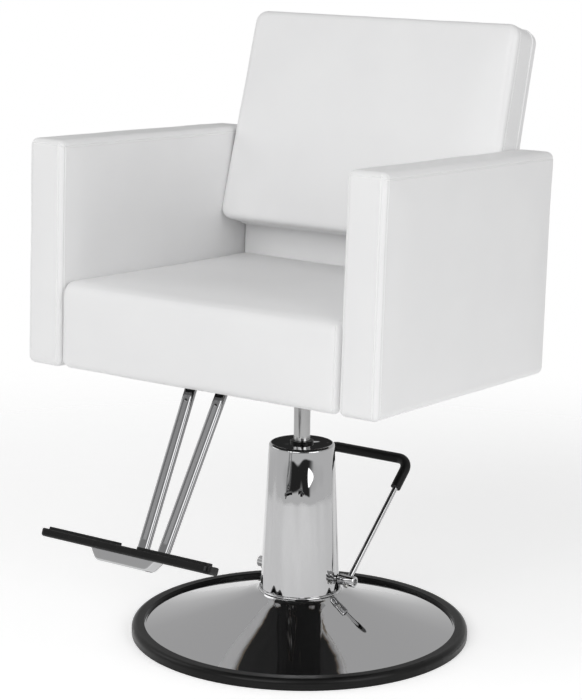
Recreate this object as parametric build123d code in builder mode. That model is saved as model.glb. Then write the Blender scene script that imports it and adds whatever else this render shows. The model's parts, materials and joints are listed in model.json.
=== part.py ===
from build123d import *
import os
from math import cos, radians, sin

# A hydraulic styling chair: a boxy upholstered armchair on a swivelling, pumped column.
# Millimetres. The origin is on the floor on the column's axis, +Z is up, and the sitter faces -Y.
# Every piece of the seat stands in the seat's own frame, which leans back a little on the column.

os.makedirs("parts", exist_ok=True)

# ---- clearances -------------------------------------------------------------------------------
RUNNING = 0.05  # radial play of a shaft in its bush, and of a thrust face
LOOSE = 0.25  # radial play of a bolt in its hole
SOFT_GAP = 0.3  # between two upholstered pieces
CLEAR = 1.0  # round a part that only has to pass through
WIDE_CLEAR = 1.5  # round a part that turns or is passed in from outside
OVERCUT = 1.0  # how far a bore runs past the part it goes through
BOLT_END = 2.0  # a bolt past its nut, or short of the end of its hole
HEX_SHARE = 1.75  # a hexagon's corner radius, in bolt radii
HEAD_SHARE = 1.3  # a bolt head's height, in bolt radii

# ---- overall sizes ----------------------------------------------------------------------------
BASE_RADIUS = 290.0
SEAT_BOTTOM = 472.0  # the seat's underside above the floor, on the column's axis
SEAT_TILT = 2.0  # degrees, front edge up
SEAT_WIDTH = 546.0  # clear width between the arms
SEAT_FRONT = 310.0  # the arms' fronts, ahead of the column's axis
SEAT_REAR = 215.0  # the arms' backs, behind the column's axis
SEAT_THICKNESS = 145.0  # the cushion's top above the underside

# ---- base -------------------------------------------------------------------------------------
RING_HEIGHT = 18.5
RING_ROUND = 9.0
RING_WIDTH = 34.0
LIP_WIDTH = 21.5  # rubber seen outside the chrome
RIM_INSET = 15.0  # the dome's edge, inside the ring's outside
SHEET = 2.5  # the dome's steel
RIM_OVERLAP = 3.0  # flat steel inside the rubber's lip
RIM_LEVEL = 11.5  # underside of the dome's rim
DOME_TOP = 77.0
DOME_SHOULDER = 72.0  # radius of the flat the pump stands on
# points of the dome's flare, as shares of the way in and of the way up from rim to shoulder
DOME_FLARE = ((0.34, 0.29), (0.60, 0.535), (0.855, 0.80), (0.938, 0.895))
DOME_ENDS = ((-1, 0.25), (-0.62, 1))  # the flare's directions at the rim and at the shoulder
UNDERSIDE_PLACES = (0.2, 0.4, 0.6, 0.8, 0.92)  # where the underside is held one sheet below it
STIFFENER_THICKNESS = 6.0
STIFFENER_RADIUS = 66.0

# ---- pump -------------------------------------------------------------------------------------
BARREL_RADIUS = 46.0
BARREL_BOTTOM = 25.0
BARREL_TOP = 118.0
FLANGE_RADIUS = 64.0
FLANGE_THICKNESS = 10.0
BASE_BOLT_CIRCLE = 55.5  # radius
BASE_BOLT_RADIUS = 4.0
BASE_BOLT_COUNT = 4
BASE_BOLT_TURN = 45.0  # degrees from straight ahead to the first bolt
VALVE_PLATE_THICKNESS = 4.0
HEAD_THICKNESS = 10.0
HEAD_BOTTOM = 322.0
BORE_STEP = 5.0  # lift cylinder's bore outside the rod
CYLINDER_WALL = 5.0
RESERVOIR_RADIUS = 44.0
RESERVOIR_WALL = 3.0
GUIDE_LENGTH = 23.0
GUIDE_WALL = 3.0
SEAL_HEIGHT = 5.0
SEAL_WIDTH = 4.0
COVER_BOTTOM_RADIUS = 68.0
COVER_TOP_RADIUS = 56.0
COVER_TOP = 336.0
COVER_SHEET = 1.5
COVER_EDGE = 5.0  # rounding of the cover's top edge
COLLAR_RADIUS = 71.5
COLLAR_HEIGHT = 4.0
COLLAR_EDGE = 2.0
GLAND_RADIUS = 20.0
GLAND_HEIGHT = 4.0
GLAND_NECK = 17.0
GLAND_EDGE = 1.5

# ---- column -----------------------------------------------------------------------------------
ROD_RADIUS = 14.0
ROD_SHOULDER = 446.0  # where the rod steps down to its spigot
SPIGOT_RADIUS = 11.0
SPIGOT_TOP = 492.0
PISTON_BOTTOM = 218.0
PISTON_THICKNESS = 18.0
PISTON_STEM_RADIUS = 8.0
PISTON_NUT_RADIUS = 13.6  # to its corners
PISTON_NUT_HEIGHT = 8.0
RING_GROOVE = 2.5  # depth and half the height of the piston's seal groove
THRUST_THICKNESS = 2.0
THRUST_INSET = 0.5  # inside the rod's outside
RETAINER_LEDGE = 6.0  # the washer and nut beyond the spigot
RETAINING_NUT_HEIGHT = 8.8
HUB_RADIUS = 24.0
HUB_BOTTOM = 428.0
HUB_TOP = 478.0

# ---- lever ------------------------------------------------------------------------------------
SHAFT_Y = 20.0
SHAFT_Z = 101.0
SHAFT_RADIUS = 6.0
SHAFT_HALF = 97.0
BUSH_WALL = 3.0
BUSH_LENGTH = 12.0
LEVER_HUB_RADIUS = 9.5
LEVER_HUB_START = 68.0
LEVER_HUB_END = 100.0
LEVER_HALF_WIDTH = 86.0
LEVER_RISE = 42.0  # degrees above level, towards the back
LEVER_LENGTH = 257.0
LEVER_ROD_RADIUS = 4.75
LEVER_BEND = 22.0
LEVER_ROD_GAP = 0.2  # between the rod's ends and the shaft
LEVER_CHAMFER = 1.0
HUB_SCREW_RADIUS = 4.5
HUB_SCREW_HEIGHT = 3.0
SLEEVE_RADIUS = 9.0
SLEEVE_LEG = 38.0  # straight length of sleeve on each side rod
CRANK_LENGTH = 14.0
CRANK_WIDTH = 10.0
CRANK_HUB_RADIUS = 8.5
CRANK_ARM = 7.0
ROLLER_RADIUS = 5.0
PLUNGER_RADIUS = 5.0
PLUNGER_BOTTOM = 53.0
PLUNGER_BORE_BOTTOM = 45.0
PLUNGER_HEAD_RADIUS = 6.5
PLUNGER_HEAD = 3.0
POCKET_FLOOR = 76.0
POCKET_WIDTH = 15.0
SPRING_WIRE = 0.7  # radius
SPRING_RADIUS = 5.95
SPRING_TURNS = 4
SPRING_GAP = 0.2  # at each end

# ---- seat frame -------------------------------------------------------------------------------
BOARD_BOTTOM = 10.0
BOARD_THICKNESS = 15.0
DECK_BOTTOM = 85.0
DECK_THICKNESS = 12.0
RAIL = 20.0
APRON = 13.7  # upholstery in front of the front rail
REAR_PANEL_DEPTH = 17.0
REAR_PANEL_HEIGHT = 228.0
REAR_PANEL_EDGE = 5.0
REAR_CORE_DEPTH = 10.0
REAR_CORE_MARGIN = 11.0
CUSHION_FRONT_ROUND = 24.0
DUST_COVER = 1.5
DUST_COVER_SIDE = 8.0  # in from the seat's sides
DUST_COVER_END = 6.0  # in from the board's front and rear
DUST_COVER_GAP = 3.0  # round the bracket and the flange
BRACKET_SIZE = 200.0
BRACKET_PLATE = 6.0
BRACKET_CORNER = 12.0
BRACKET_BOLT_SPACING = 160.0
BOLT_RADIUS = 4.0
RIB_REACH = 62.0
RIB_DROP = 34.0
RIB_THICKNESS = 6.0
RIB_ROOT = 2.0  # how far each rib runs into the hub
HUB_ROOM = 2.0  # round the hub in the seat board

# ---- arms -------------------------------------------------------------------------------------
ARM_WIDTH = 71.0
ARM_HEIGHT = 373.0
ARM_PAD = 12.0  # foam and vinyl over the timber
ARM_EDGE = 9.0
ARM_FRAME_BOTTOM = 12.0
ARM_STILE = 70.0  # width of the timber round the arm frame's window
ARM_WINDOW_CORNER = 10.0
ARM_BOLT_LEVEL = 55.0
ARM_BOLT_PLACES = (-200.0, -20.0, 140.0)
ARM_BOLT_GRIP = 30.0  # length in the arm's timber
ARM_BOLT_HEAD = 8.0

# ---- backrest ---------------------------------------------------------------------------------
BACK_LEAN = 14.0  # degrees
BACK_FOOT_Y = 115.0  # lower front edge, in the seat's frame
BACK_FOOT_Z = 215.0
BACK_LENGTH = 376.0
BACK_DEPTH = 75.0
BACK_TOP_WIDTH = 532.0
BACK_CORNER = 22.0
BACK_EDGE = 12.0
BACK_BOARD_THICKNESS = 20.0
BACK_BOARD_MARGIN = 27.7
BACK_SHELL_DEPTH = 17.0  # padded rear panel
BACK_BOLT_PLACES = (40.0, 110.0)  # up the backrest
BACK_BOLT_GRIP = 36.0  # length in the back board
BACK_HEAD_DEPTH = 12.0  # from the arm frame's inner face to the bolt's head

# ---- footrest ---------------------------------------------------------------------------------
FLANGE_WIDTH = 130.0
FLANGE_LENGTH = 68.0
FLANGE_PLATE = 5.0
FLANGE_CORNER = 8.0
FLANGE_BOLT_SIDE = 13.0  # bolts in from the flange's sides
FLANGE_BOLT_END = 14.0  # bolts in from its front and rear
FLANGE_Y = -262.0
LEG_TOP = Vector(30.0, -274.0, 470.0)
LEG_FOOT = Vector(20.0, -404.0, 248.0)
LEG_WIDTH = 21.0
LEG_DEPTH = 11.0
LEG_SLOT = 7.5
LEG_SLOT_TOP = 12.0
LEG_SLOT_FOOT = 9.0
LEG_EDGE = 4.6
LEG_OVER = 60.0  # the bar is cut long at both ends, then trimmed to the flange and the foot plate
FOOT_FRONT_Y = -484.7
FOOT_FRONT_Z = 266.9
FOOT_TILT = 22.0  # degrees, front edge up
FOOT_LENGTH = 330.0
FOOT_DEPTH = 34.0
FOOT_THICKNESS = 13.0
FOOT_LUG_WIDTH = 76.0
FOOT_LUG_REACH = 58.0  # behind the bar
FOOT_LUG_THICKNESS = 5.0
FOOT_LUG_CORNER = 8.0
TREAD_THICKNESS = 4.0
TREAD_LENGTH = 131.0
TREAD_DEPTH = 27.0
TREAD_CORNER = 6.0
TREAD_EDGE = 1.2
TREAD_INSET = 12.0
FOOT_CORNER = 9.0
FOOT_UNDER_EDGE = 4.5
FOOT_TOP_EDGE = 2.5
BOSS_WIDTH = 128.0
BOSS_DEPTH = 25.0
BOSS_DROP = 17.0
BOSS_SLOPE = 14.0  # how far each end slopes inwards
BOSS_CORNER = 14.0
BOSS_EDGE = 4.0
FOOT_SCREW_RADIUS = 2.5
FOOT_SCREW_HEAD = 4.5  # radius
FOOT_SCREW_HEAD_HEIGHT = 2.5
FOOT_SCREW_BITE = 2.5  # depth in the tread
FOOT_SCREW_SPACING = 40.0

# ---- frames of reference ----------------------------------------------------------------------
tilt = radians(SEAT_TILT)
SEAT = Plane((0, 0, SEAT_BOTTOM), x_dir=(1, 0, 0), z_dir=(0, sin(tilt), cos(tilt)))
rise = radians(LEVER_RISE)
LEVER = Plane((0, SHAFT_Y, SHAFT_Z), x_dir=(1, 0, 0), z_dir=(0, -sin(rise), cos(rise)))
foot = radians(FOOT_TILT)
FOOT = Plane((0, FOOT_FRONT_Y, FOOT_FRONT_Z), x_dir=(1, 0, 0), z_dir=(0, sin(foot), cos(foot)))
back = radians(SEAT_TILT + BACK_LEAN)
back_origin = SEAT.from_local_coords((0, BACK_FOOT_Y, BACK_FOOT_Z))
# the backrest's front face: sketch y runs up the back, and the plane looks at the sitter
BACK = Plane(back_origin, x_dir=(1, 0, 0), z_dir=(0, -cos(back), sin(back)))

SEAT_UP = Axis(SEAT.origin, SEAT.z_dir)
FOOT_UP = Axis(FOOT.origin, FOOT.z_dir)
BACK_OUT = Axis(BACK.origin, BACK.z_dir)

half_seat = SEAT_WIDTH / 2
half_body = half_seat - SOFT_GAP
board_front = SEAT_FRONT - APRON - SOFT_GAP
board_rear = SEAT_REAR - REAR_PANEL_DEPTH
arm_core_in = half_seat + ARM_PAD
arm_core_out = half_seat + ARM_WIDTH - ARM_PAD


def beside(x):
    """The plane square to X at x: sketch x runs back along the seat, sketch y runs up it."""
    return Plane((x, 0, SEAT_BOTTOM), x_dir=SEAT.y_dir, z_dir=(1, 0, 0))


def across_shaft(x):
    """The plane square to the lever's shaft at x: sketch x runs back, sketch y runs up."""
    return Plane((x, SHAFT_Y, SHAFT_Z), x_dir=(0, 1, 0), z_dir=(1, 0, 0))


# ================================ base ==========================================================
rim_radius = BASE_RADIUS - RIM_INSET
lip_radius = BASE_RADIUS - LIP_WIDTH
rim_top = RIM_LEVEL + SHEET
flange_top = DOME_TOP + FLANGE_THICKNESS
stiffener_top = DOME_TOP - SHEET

with BuildPart() as base_ring:
    with BuildSketch(Plane.XZ):
        with BuildLine():
            Polyline(
                (BASE_RADIUS - RING_WIDTH, 0),
                (BASE_RADIUS, 0),
                (BASE_RADIUS, RING_HEIGHT),
                (lip_radius, RING_HEIGHT),
                (lip_radius, rim_top),
                (rim_radius, rim_top),
                (rim_radius, RIM_LEVEL),
                (BASE_RADIUS - RING_WIDTH, RIM_LEVEL),
                close=True,
            )
        ring_profile = make_face()
        outer = ring_profile.vertices().group_by(Axis.X)[-1].sort_by(Axis.Y)
        fillet(outer[-1], RING_ROUND)
        fillet(ring_profile.vertices().group_by(Axis.X)[-1].sort_by(Axis.Y)[0], 2)
    revolve(axis=Axis.Z)

pump_hole = BARREL_RADIUS + CLEAR
flare_start = lip_radius - RIM_OVERLAP
flare_points = [
    (
        flare_start + share_in * (DOME_SHOULDER - flare_start),
        rim_top + share_up * (DOME_TOP - rim_top),
    )
    for share_in, share_up in DOME_FLARE
]
with BuildPart() as base_dome:
    with BuildSketch(Plane.XZ):
        with BuildLine():
            flare = Spline(
                (flare_start, rim_top),
                *flare_points,
                (DOME_SHOULDER, DOME_TOP),
                tangents=DOME_ENDS,
            )
            # the underside keeps one sheet's thickness below the flare
            below = [
                flare @ t + (flare % t).rotate(Axis.Z, 90) * SHEET for t in UNDERSIDE_PLACES
            ]
            under = Spline(
                (flare_start, RIM_LEVEL),
                *below,
                (DOME_SHOULDER - SHEET, DOME_TOP - SHEET),
                tangents=DOME_ENDS,
            )
            Polyline(flare @ 0, (rim_radius, rim_top), (rim_radius, RIM_LEVEL), under @ 0)
            Polyline(
                flare @ 1,
                (pump_hole, DOME_TOP),
                (pump_hole, DOME_TOP - SHEET),
                under @ 1,
            )
        make_face()
    revolve(axis=Axis.Z)
    with BuildSketch(Plane.XY.offset(DOME_TOP)):
        with PolarLocations(BASE_BOLT_CIRCLE, BASE_BOLT_COUNT, start_angle=BASE_BOLT_TURN):
            Circle(BASE_BOLT_RADIUS + LOOSE)
    extrude(amount=-SHEET * 2, mode=Mode.SUBTRACT)

with BuildPart() as stiffener:
    with BuildSketch(Plane.XY.offset(stiffener_top)):
        Circle(STIFFENER_RADIUS)
        Circle(pump_hole, mode=Mode.SUBTRACT)
        with PolarLocations(BASE_BOLT_CIRCLE, BASE_BOLT_COUNT, start_angle=BASE_BOLT_TURN):
            Circle(BASE_BOLT_RADIUS + LOOSE, mode=Mode.SUBTRACT)
    extrude(amount=-STIFFENER_THICKNESS)

stiffener_bottom = stiffener_top - STIFFENER_THICKNESS
head_height = BASE_BOLT_RADIUS * HEAD_SHARE
with BuildPart() as base_bolts:
    with BuildSketch(Plane.XY.offset(flange_top)):
        with PolarLocations(BASE_BOLT_CIRCLE, BASE_BOLT_COUNT, start_angle=BASE_BOLT_TURN):
            RegularPolygon(BASE_BOLT_RADIUS * HEX_SHARE, 6)
    extrude(amount=head_height)
    with BuildSketch(Plane.XY.offset(flange_top)):
        with PolarLocations(BASE_BOLT_CIRCLE, BASE_BOLT_COUNT, start_angle=BASE_BOLT_TURN):
            Circle(BASE_BOLT_RADIUS)
    extrude(amount=-(flange_top - stiffener_bottom + head_height + BOLT_END))

with BuildPart() as base_nuts:
    with BuildSketch(Plane.XY.offset(stiffener_bottom)):
        with PolarLocations(BASE_BOLT_CIRCLE, BASE_BOLT_COUNT, start_angle=BASE_BOLT_TURN):
            RegularPolygon(BASE_BOLT_RADIUS * HEX_SHARE, 6)
            Circle(BASE_BOLT_RADIUS, mode=Mode.SUBTRACT)
    extrude(amount=-head_height)

# ================================ pump ==========================================================
plunger_y = SHAFT_Y + CRANK_LENGTH
bush_radius = SHAFT_RADIUS + RUNNING + BUSH_WALL
valve_plate_top = BARREL_TOP + VALVE_PLATE_THICKNESS
head_top = HEAD_BOTTOM + HEAD_THICKNESS
guide_radius = ROD_RADIUS + RUNNING + GUIDE_WALL
bore_radius = ROD_RADIUS + BORE_STEP
seal_radius = ROD_RADIUS + RUNNING + SEAL_WIDTH

with BuildPart() as pump_body:
    with BuildSketch(Plane.XY.offset(BARREL_BOTTOM)):
        Circle(BARREL_RADIUS)
    extrude(amount=BARREL_TOP - BARREL_BOTTOM)
    with BuildSketch(Plane.XY.offset(DOME_TOP)):
        Circle(FLANGE_RADIUS)
    extrude(amount=FLANGE_THICKNESS)
    with BuildSketch(Plane.XY.offset(flange_top)):
        with PolarLocations(BASE_BOLT_CIRCLE, BASE_BOLT_COUNT, start_angle=BASE_BOLT_TURN):
            Circle(BASE_BOLT_RADIUS + LOOSE)
    extrude(amount=-FLANGE_THICKNESS, mode=Mode.SUBTRACT)
    with BuildSketch(across_shaft(-BARREL_RADIUS)):
        Circle(SHAFT_RADIUS + CLEAR)
    extrude(amount=2 * BARREL_RADIUS, mode=Mode.SUBTRACT)
    for side in (-1, 1):
        with BuildSketch(across_shaft(side * (BARREL_RADIUS - BUSH_LENGTH))):
            Circle(bush_radius)
        extrude(amount=side * 2 * BUSH_LENGTH, mode=Mode.SUBTRACT)
    pocket_front = SHAFT_Y - CRANK_HUB_RADIUS - WIDE_CLEAR
    pocket_rear = plunger_y + PLUNGER_HEAD_RADIUS + CLEAR
    with BuildSketch(Plane.XY.offset(BARREL_TOP)):
        with Locations((0, (pocket_front + pocket_rear) / 2)):
            Rectangle(POCKET_WIDTH, pocket_rear - pocket_front)
    extrude(amount=POCKET_FLOOR - BARREL_TOP, mode=Mode.SUBTRACT)
    with BuildSketch(Plane.XY.offset(POCKET_FLOOR)):
        with Locations((0, plunger_y)):
            Circle(PLUNGER_RADIUS + RUNNING)
    extrude(amount=PLUNGER_BORE_BOTTOM - POCKET_FLOOR, mode=Mode.SUBTRACT)

with BuildPart() as shaft_bushes:
    for side in (-1, 1):
        with BuildSketch(across_shaft(side * (BARREL_RADIUS - BUSH_LENGTH))):
            Circle(bush_radius)
            Circle(SHAFT_RADIUS + RUNNING, mode=Mode.SUBTRACT)
        extrude(amount=side * BUSH_LENGTH)

with BuildPart() as valve_plate:
    with BuildSketch(Plane.XY.offset(BARREL_TOP)):
        Circle(BARREL_RADIUS)
    extrude(amount=VALVE_PLATE_THICKNESS)

with BuildPart() as lift_cylinder:
    with BuildSketch(Plane.XY.offset(valve_plate_top)):
        Circle(bore_radius + CYLINDER_WALL)
        Circle(bore_radius, mode=Mode.SUBTRACT)
    extrude(amount=HEAD_BOTTOM - valve_plate_top)

with BuildPart() as oil_reservoir:
    with BuildSketch(Plane.XY.offset(valve_plate_top)):
        Circle(RESERVOIR_RADIUS)
        Circle(RESERVOIR_RADIUS - RESERVOIR_WALL, mode=Mode.SUBTRACT)
    extrude(amount=HEAD_BOTTOM - valve_plate_top)

with BuildPart() as pump_head:
    with BuildSketch(Plane.XY.offset(HEAD_BOTTOM)):
        Circle(BARREL_RADIUS)
        Circle(guide_radius, mode=Mode.SUBTRACT)
    extrude(amount=HEAD_THICKNESS)
    chamfer(pump_head.edges().group_by(Axis.Z)[-1].sort_by(SortBy.LENGTH)[-1], 2)
    with BuildSketch(Plane.XY.offset(head_top)):
        Circle(seal_radius)
    extrude(amount=-SEAL_HEIGHT, mode=Mode.SUBTRACT)

with BuildPart() as guide_bush:
    with BuildSketch(Plane.XY.offset(head_top - SEAL_HEIGHT)):
        Circle(guide_radius)
        Circle(ROD_RADIUS + RUNNING, mode=Mode.SUBTRACT)
    extrude(amount=-GUIDE_LENGTH)

with BuildPart() as rod_seal:
    with BuildSketch(Plane.XY.offset(head_top)):
        Circle(seal_radius)
        Circle(ROD_RADIUS + RUNNING, mode=Mode.SUBTRACT)
    extrude(amount=-SEAL_HEIGHT)

with BuildPart() as pump_cover:
    with BuildSketch(Plane.XZ):
        with BuildLine():
            FilletPolyline(
                (COVER_BOTTOM_RADIUS, DOME_TOP),
                (COVER_TOP_RADIUS, COVER_TOP),
                (GLAND_NECK, COVER_TOP),
                radius=COVER_EDGE,
            )
            offset(amount=COVER_SHEET, side=Side.LEFT, closed=True)
        make_face()
    revolve(axis=Axis.Z)
    split(bisect_by=Plane.XY.offset(DOME_TOP), keep=Keep.TOP)
    # a notch each side, open at the foot, that lets the cover drop over the shaft
    notch = SHAFT_RADIUS + WIDE_CLEAR
    with BuildSketch(across_shaft(-COVER_BOTTOM_RADIUS * 2)):
        Circle(notch)
        with Locations((0, -notch * 2)):
            Rectangle(2 * notch, 4 * notch)
    extrude(amount=COVER_BOTTOM_RADIUS * 4, mode=Mode.SUBTRACT)

with BuildPart() as cover_collar:
    with BuildSketch(Plane.XY.offset(DOME_TOP)):
        Circle(COLLAR_RADIUS)
        Circle(COVER_BOTTOM_RADIUS, mode=Mode.SUBTRACT)
    extrude(amount=COLLAR_HEIGHT)
    fillet(cover_collar.edges().group_by(Axis.Z)[-1].sort_by(SortBy.LENGTH)[-1], COLLAR_EDGE)

with BuildPart() as rod_gland:
    with BuildSketch(Plane.XY.offset(COVER_TOP)):
        Circle(GLAND_RADIUS)
        Circle(ROD_RADIUS + RUNNING, mode=Mode.SUBTRACT)
    extrude(amount=GLAND_HEIGHT)
    fillet(rod_gland.edges().group_by(Axis.Z)[-1].sort_by(SortBy.LENGTH)[-1], GLAND_EDGE)
    with BuildSketch(Plane.XY.offset(COVER_TOP)):
        Circle(GLAND_NECK)
        Circle(ROD_RADIUS + RUNNING, mode=Mode.SUBTRACT)
    extrude(amount=-COVER_SHEET)

# ================================ lever =========================================================
with BuildPart() as lever_shaft:
    with BuildSketch(across_shaft(-SHAFT_HALF)):
        Circle(SHAFT_RADIUS)
    extrude(amount=2 * SHAFT_HALF)
    chamfer(lever_shaft.edges().filter_by(GeomType.CIRCLE), LEVER_CHAMFER)

with BuildPart() as lever_rod:
    with BuildLine(LEVER):
        lever_path = FilletPolyline(
            (-LEVER_HALF_WIDTH, SHAFT_RADIUS + LEVER_ROD_GAP),
            (-LEVER_HALF_WIDTH, LEVER_LENGTH),
            (LEVER_HALF_WIDTH, LEVER_LENGTH),
            (LEVER_HALF_WIDTH, SHAFT_RADIUS + LEVER_ROD_GAP),
            radius=LEVER_BEND,
        )
    with BuildSketch(Plane(lever_path @ 0, z_dir=lever_path % 0)):
        Circle(LEVER_ROD_RADIUS)
    sweep(path=lever_path)

with BuildPart() as lever_sleeve:
    sleeve_start = LEVER_LENGTH - LEVER_BEND - SLEEVE_LEG
    with BuildLine(LEVER):
        sleeve_path = FilletPolyline(
            (-LEVER_HALF_WIDTH, sleeve_start),
            (-LEVER_HALF_WIDTH, LEVER_LENGTH),
            (LEVER_HALF_WIDTH, LEVER_LENGTH),
            (LEVER_HALF_WIDTH, sleeve_start),
            radius=LEVER_BEND,
        )
    with BuildSketch(Plane(sleeve_path @ 0, z_dir=sleeve_path % 0)):
        Circle(SLEEVE_RADIUS)
        Circle(LEVER_ROD_RADIUS, mode=Mode.SUBTRACT)
    sweep(path=sleeve_path)

with BuildPart() as lever_hubs:
    for side in (-1, 1):
        with BuildSketch(across_shaft(side * LEVER_HUB_START)):
            Circle(LEVER_HUB_RADIUS)
            Circle(SHAFT_RADIUS, mode=Mode.SUBTRACT)
        extrude(amount=side * (LEVER_HUB_END - LEVER_HUB_START))
    hub_rims = lever_hubs.edges().filter_by(GeomType.CIRCLE).sort_by(SortBy.RADIUS)[-4:]
    chamfer(hub_rims, LEVER_CHAMFER)
    # each side rod screws into a cross hole in its hub
    rod_entry = Plane(LEVER.origin, x_dir=LEVER.x_dir, z_dir=LEVER.y_dir)
    with BuildSketch(rod_entry):
        with Locations((-LEVER_HALF_WIDTH, 0), (LEVER_HALF_WIDTH, 0)):
            Circle(LEVER_ROD_RADIUS)
    extrude(amount=LEVER_HUB_RADIUS * 2, mode=Mode.SUBTRACT)

with BuildPart() as hub_screws:
    screw_entry = Plane(LEVER.origin, x_dir=LEVER.x_dir, z_dir=-LEVER.y_dir)
    with BuildSketch(screw_entry.offset(LEVER_HUB_RADIUS)):
        with Locations((-LEVER_HALF_WIDTH, 0), (LEVER_HALF_WIDTH, 0)):
            RegularPolygon(HUB_SCREW_RADIUS, 6)
    extrude(amount=HUB_SCREW_HEIGHT)

with BuildPart() as pump_crank:
    with BuildSketch(across_shaft(-CRANK_WIDTH / 2)):
        Circle(CRANK_HUB_RADIUS)
        with Locations((CRANK_LENGTH / 2, 0)):
            Rectangle(CRANK_LENGTH, CRANK_ARM)
        with Locations((CRANK_LENGTH, 0)):
            Circle(ROLLER_RADIUS)
        Circle(SHAFT_RADIUS, mode=Mode.SUBTRACT)
    extrude(amount=CRANK_WIDTH)

plunger_top = SHAFT_Z - ROLLER_RADIUS - SOFT_GAP
with BuildPart() as pump_plunger:
    with BuildSketch(Plane.XY.offset(PLUNGER_BOTTOM)):
        with Locations((0, plunger_y)):
            Circle(PLUNGER_RADIUS)
    extrude(amount=plunger_top - PLUNGER_BOTTOM)
    with BuildSketch(Plane.XY.offset(plunger_top)):
        with Locations((0, plunger_y)):
            Circle(PLUNGER_HEAD_RADIUS)
    extrude(amount=-PLUNGER_HEAD)

spring_room = plunger_top - PLUNGER_HEAD - POCKET_FLOOR
spring_travel = spring_room - 2 * SPRING_WIRE - 2 * SPRING_GAP
spring_base = Plane((0, plunger_y, POCKET_FLOOR + SPRING_WIRE + SPRING_GAP))
with BuildPart() as plunger_spring:
    with BuildLine(spring_base):
        coil = Helix(pitch=spring_travel / SPRING_TURNS, height=spring_travel, radius=SPRING_RADIUS)
    with BuildSketch(Plane(coil @ 0, z_dir=coil % 0)):
        Circle(SPRING_WIRE)
    sweep(path=coil, is_frenet=True)

# ================================ column ========================================================
piston_top = PISTON_BOTTOM + PISTON_THICKNESS
with BuildPart() as piston_rod:
    with BuildSketch(Plane.XY.offset(piston_top)):
        Circle(ROD_RADIUS)
    extrude(amount=ROD_SHOULDER - piston_top)
    with BuildSketch(Plane.XY.offset(ROD_SHOULDER)):
        Circle(SPIGOT_RADIUS)
    extrude(amount=SPIGOT_TOP - ROD_SHOULDER)
    with BuildSketch(Plane.XY.offset(piston_top)):
        Circle(PISTON_STEM_RADIUS)
    extrude(amount=-(PISTON_THICKNESS + PISTON_NUT_HEIGHT))
    chamfer(piston_rod.edges().group_by(Axis.Z)[-1], 1)

groove_middle = PISTON_BOTTOM + PISTON_THICKNESS / 2
with BuildPart() as piston:
    with BuildSketch(Plane.XY.offset(PISTON_BOTTOM)):
        Circle(bore_radius - RUNNING)
        Circle(PISTON_STEM_RADIUS, mode=Mode.SUBTRACT)
    extrude(amount=PISTON_THICKNESS)
    with BuildSketch(Plane.XY.offset(groove_middle)):
        Circle(bore_radius)
        Circle(bore_radius - RING_GROOVE, mode=Mode.SUBTRACT)
    extrude(amount=RING_GROOVE, both=True, mode=Mode.SUBTRACT)

with BuildPart() as piston_seal:
    with BuildSketch(Plane.XY.offset(groove_middle)):
        Circle(bore_radius - RUNNING / 2)
        Circle(bore_radius - RING_GROOVE, mode=Mode.SUBTRACT)
    extrude(amount=RING_GROOVE, both=True)

with BuildPart() as piston_nut:
    with BuildSketch(Plane.XY.offset(PISTON_BOTTOM)):
        RegularPolygon(PISTON_NUT_RADIUS, 6)
        Circle(PISTON_STEM_RADIUS, mode=Mode.SUBTRACT)
    extrude(amount=-PISTON_NUT_HEIGHT)

with BuildPart() as thrust_washer:
    with BuildSketch(Plane.XY.offset(ROD_SHOULDER)):
        Circle(ROD_RADIUS - THRUST_INSET)
        Circle(SPIGOT_RADIUS, mode=Mode.SUBTRACT)
    extrude(amount=THRUST_THICKNESS)

retainer_bottom = HUB_TOP + RUNNING
with BuildPart() as retaining_washer:
    with BuildSketch(Plane.XY.offset(retainer_bottom)):
        Circle(SPIGOT_RADIUS + RETAINER_LEDGE)
        Circle(SPIGOT_RADIUS, mode=Mode.SUBTRACT)
    extrude(amount=THRUST_THICKNESS)

with BuildPart() as retaining_nut:
    with BuildSketch(Plane.XY.offset(retainer_bottom + THRUST_THICKNESS)):
        RegularPolygon(SPIGOT_RADIUS + RETAINER_LEDGE, 6)
        Circle(SPIGOT_RADIUS, mode=Mode.SUBTRACT)
    extrude(amount=RETAINING_NUT_HEIGHT)

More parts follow.
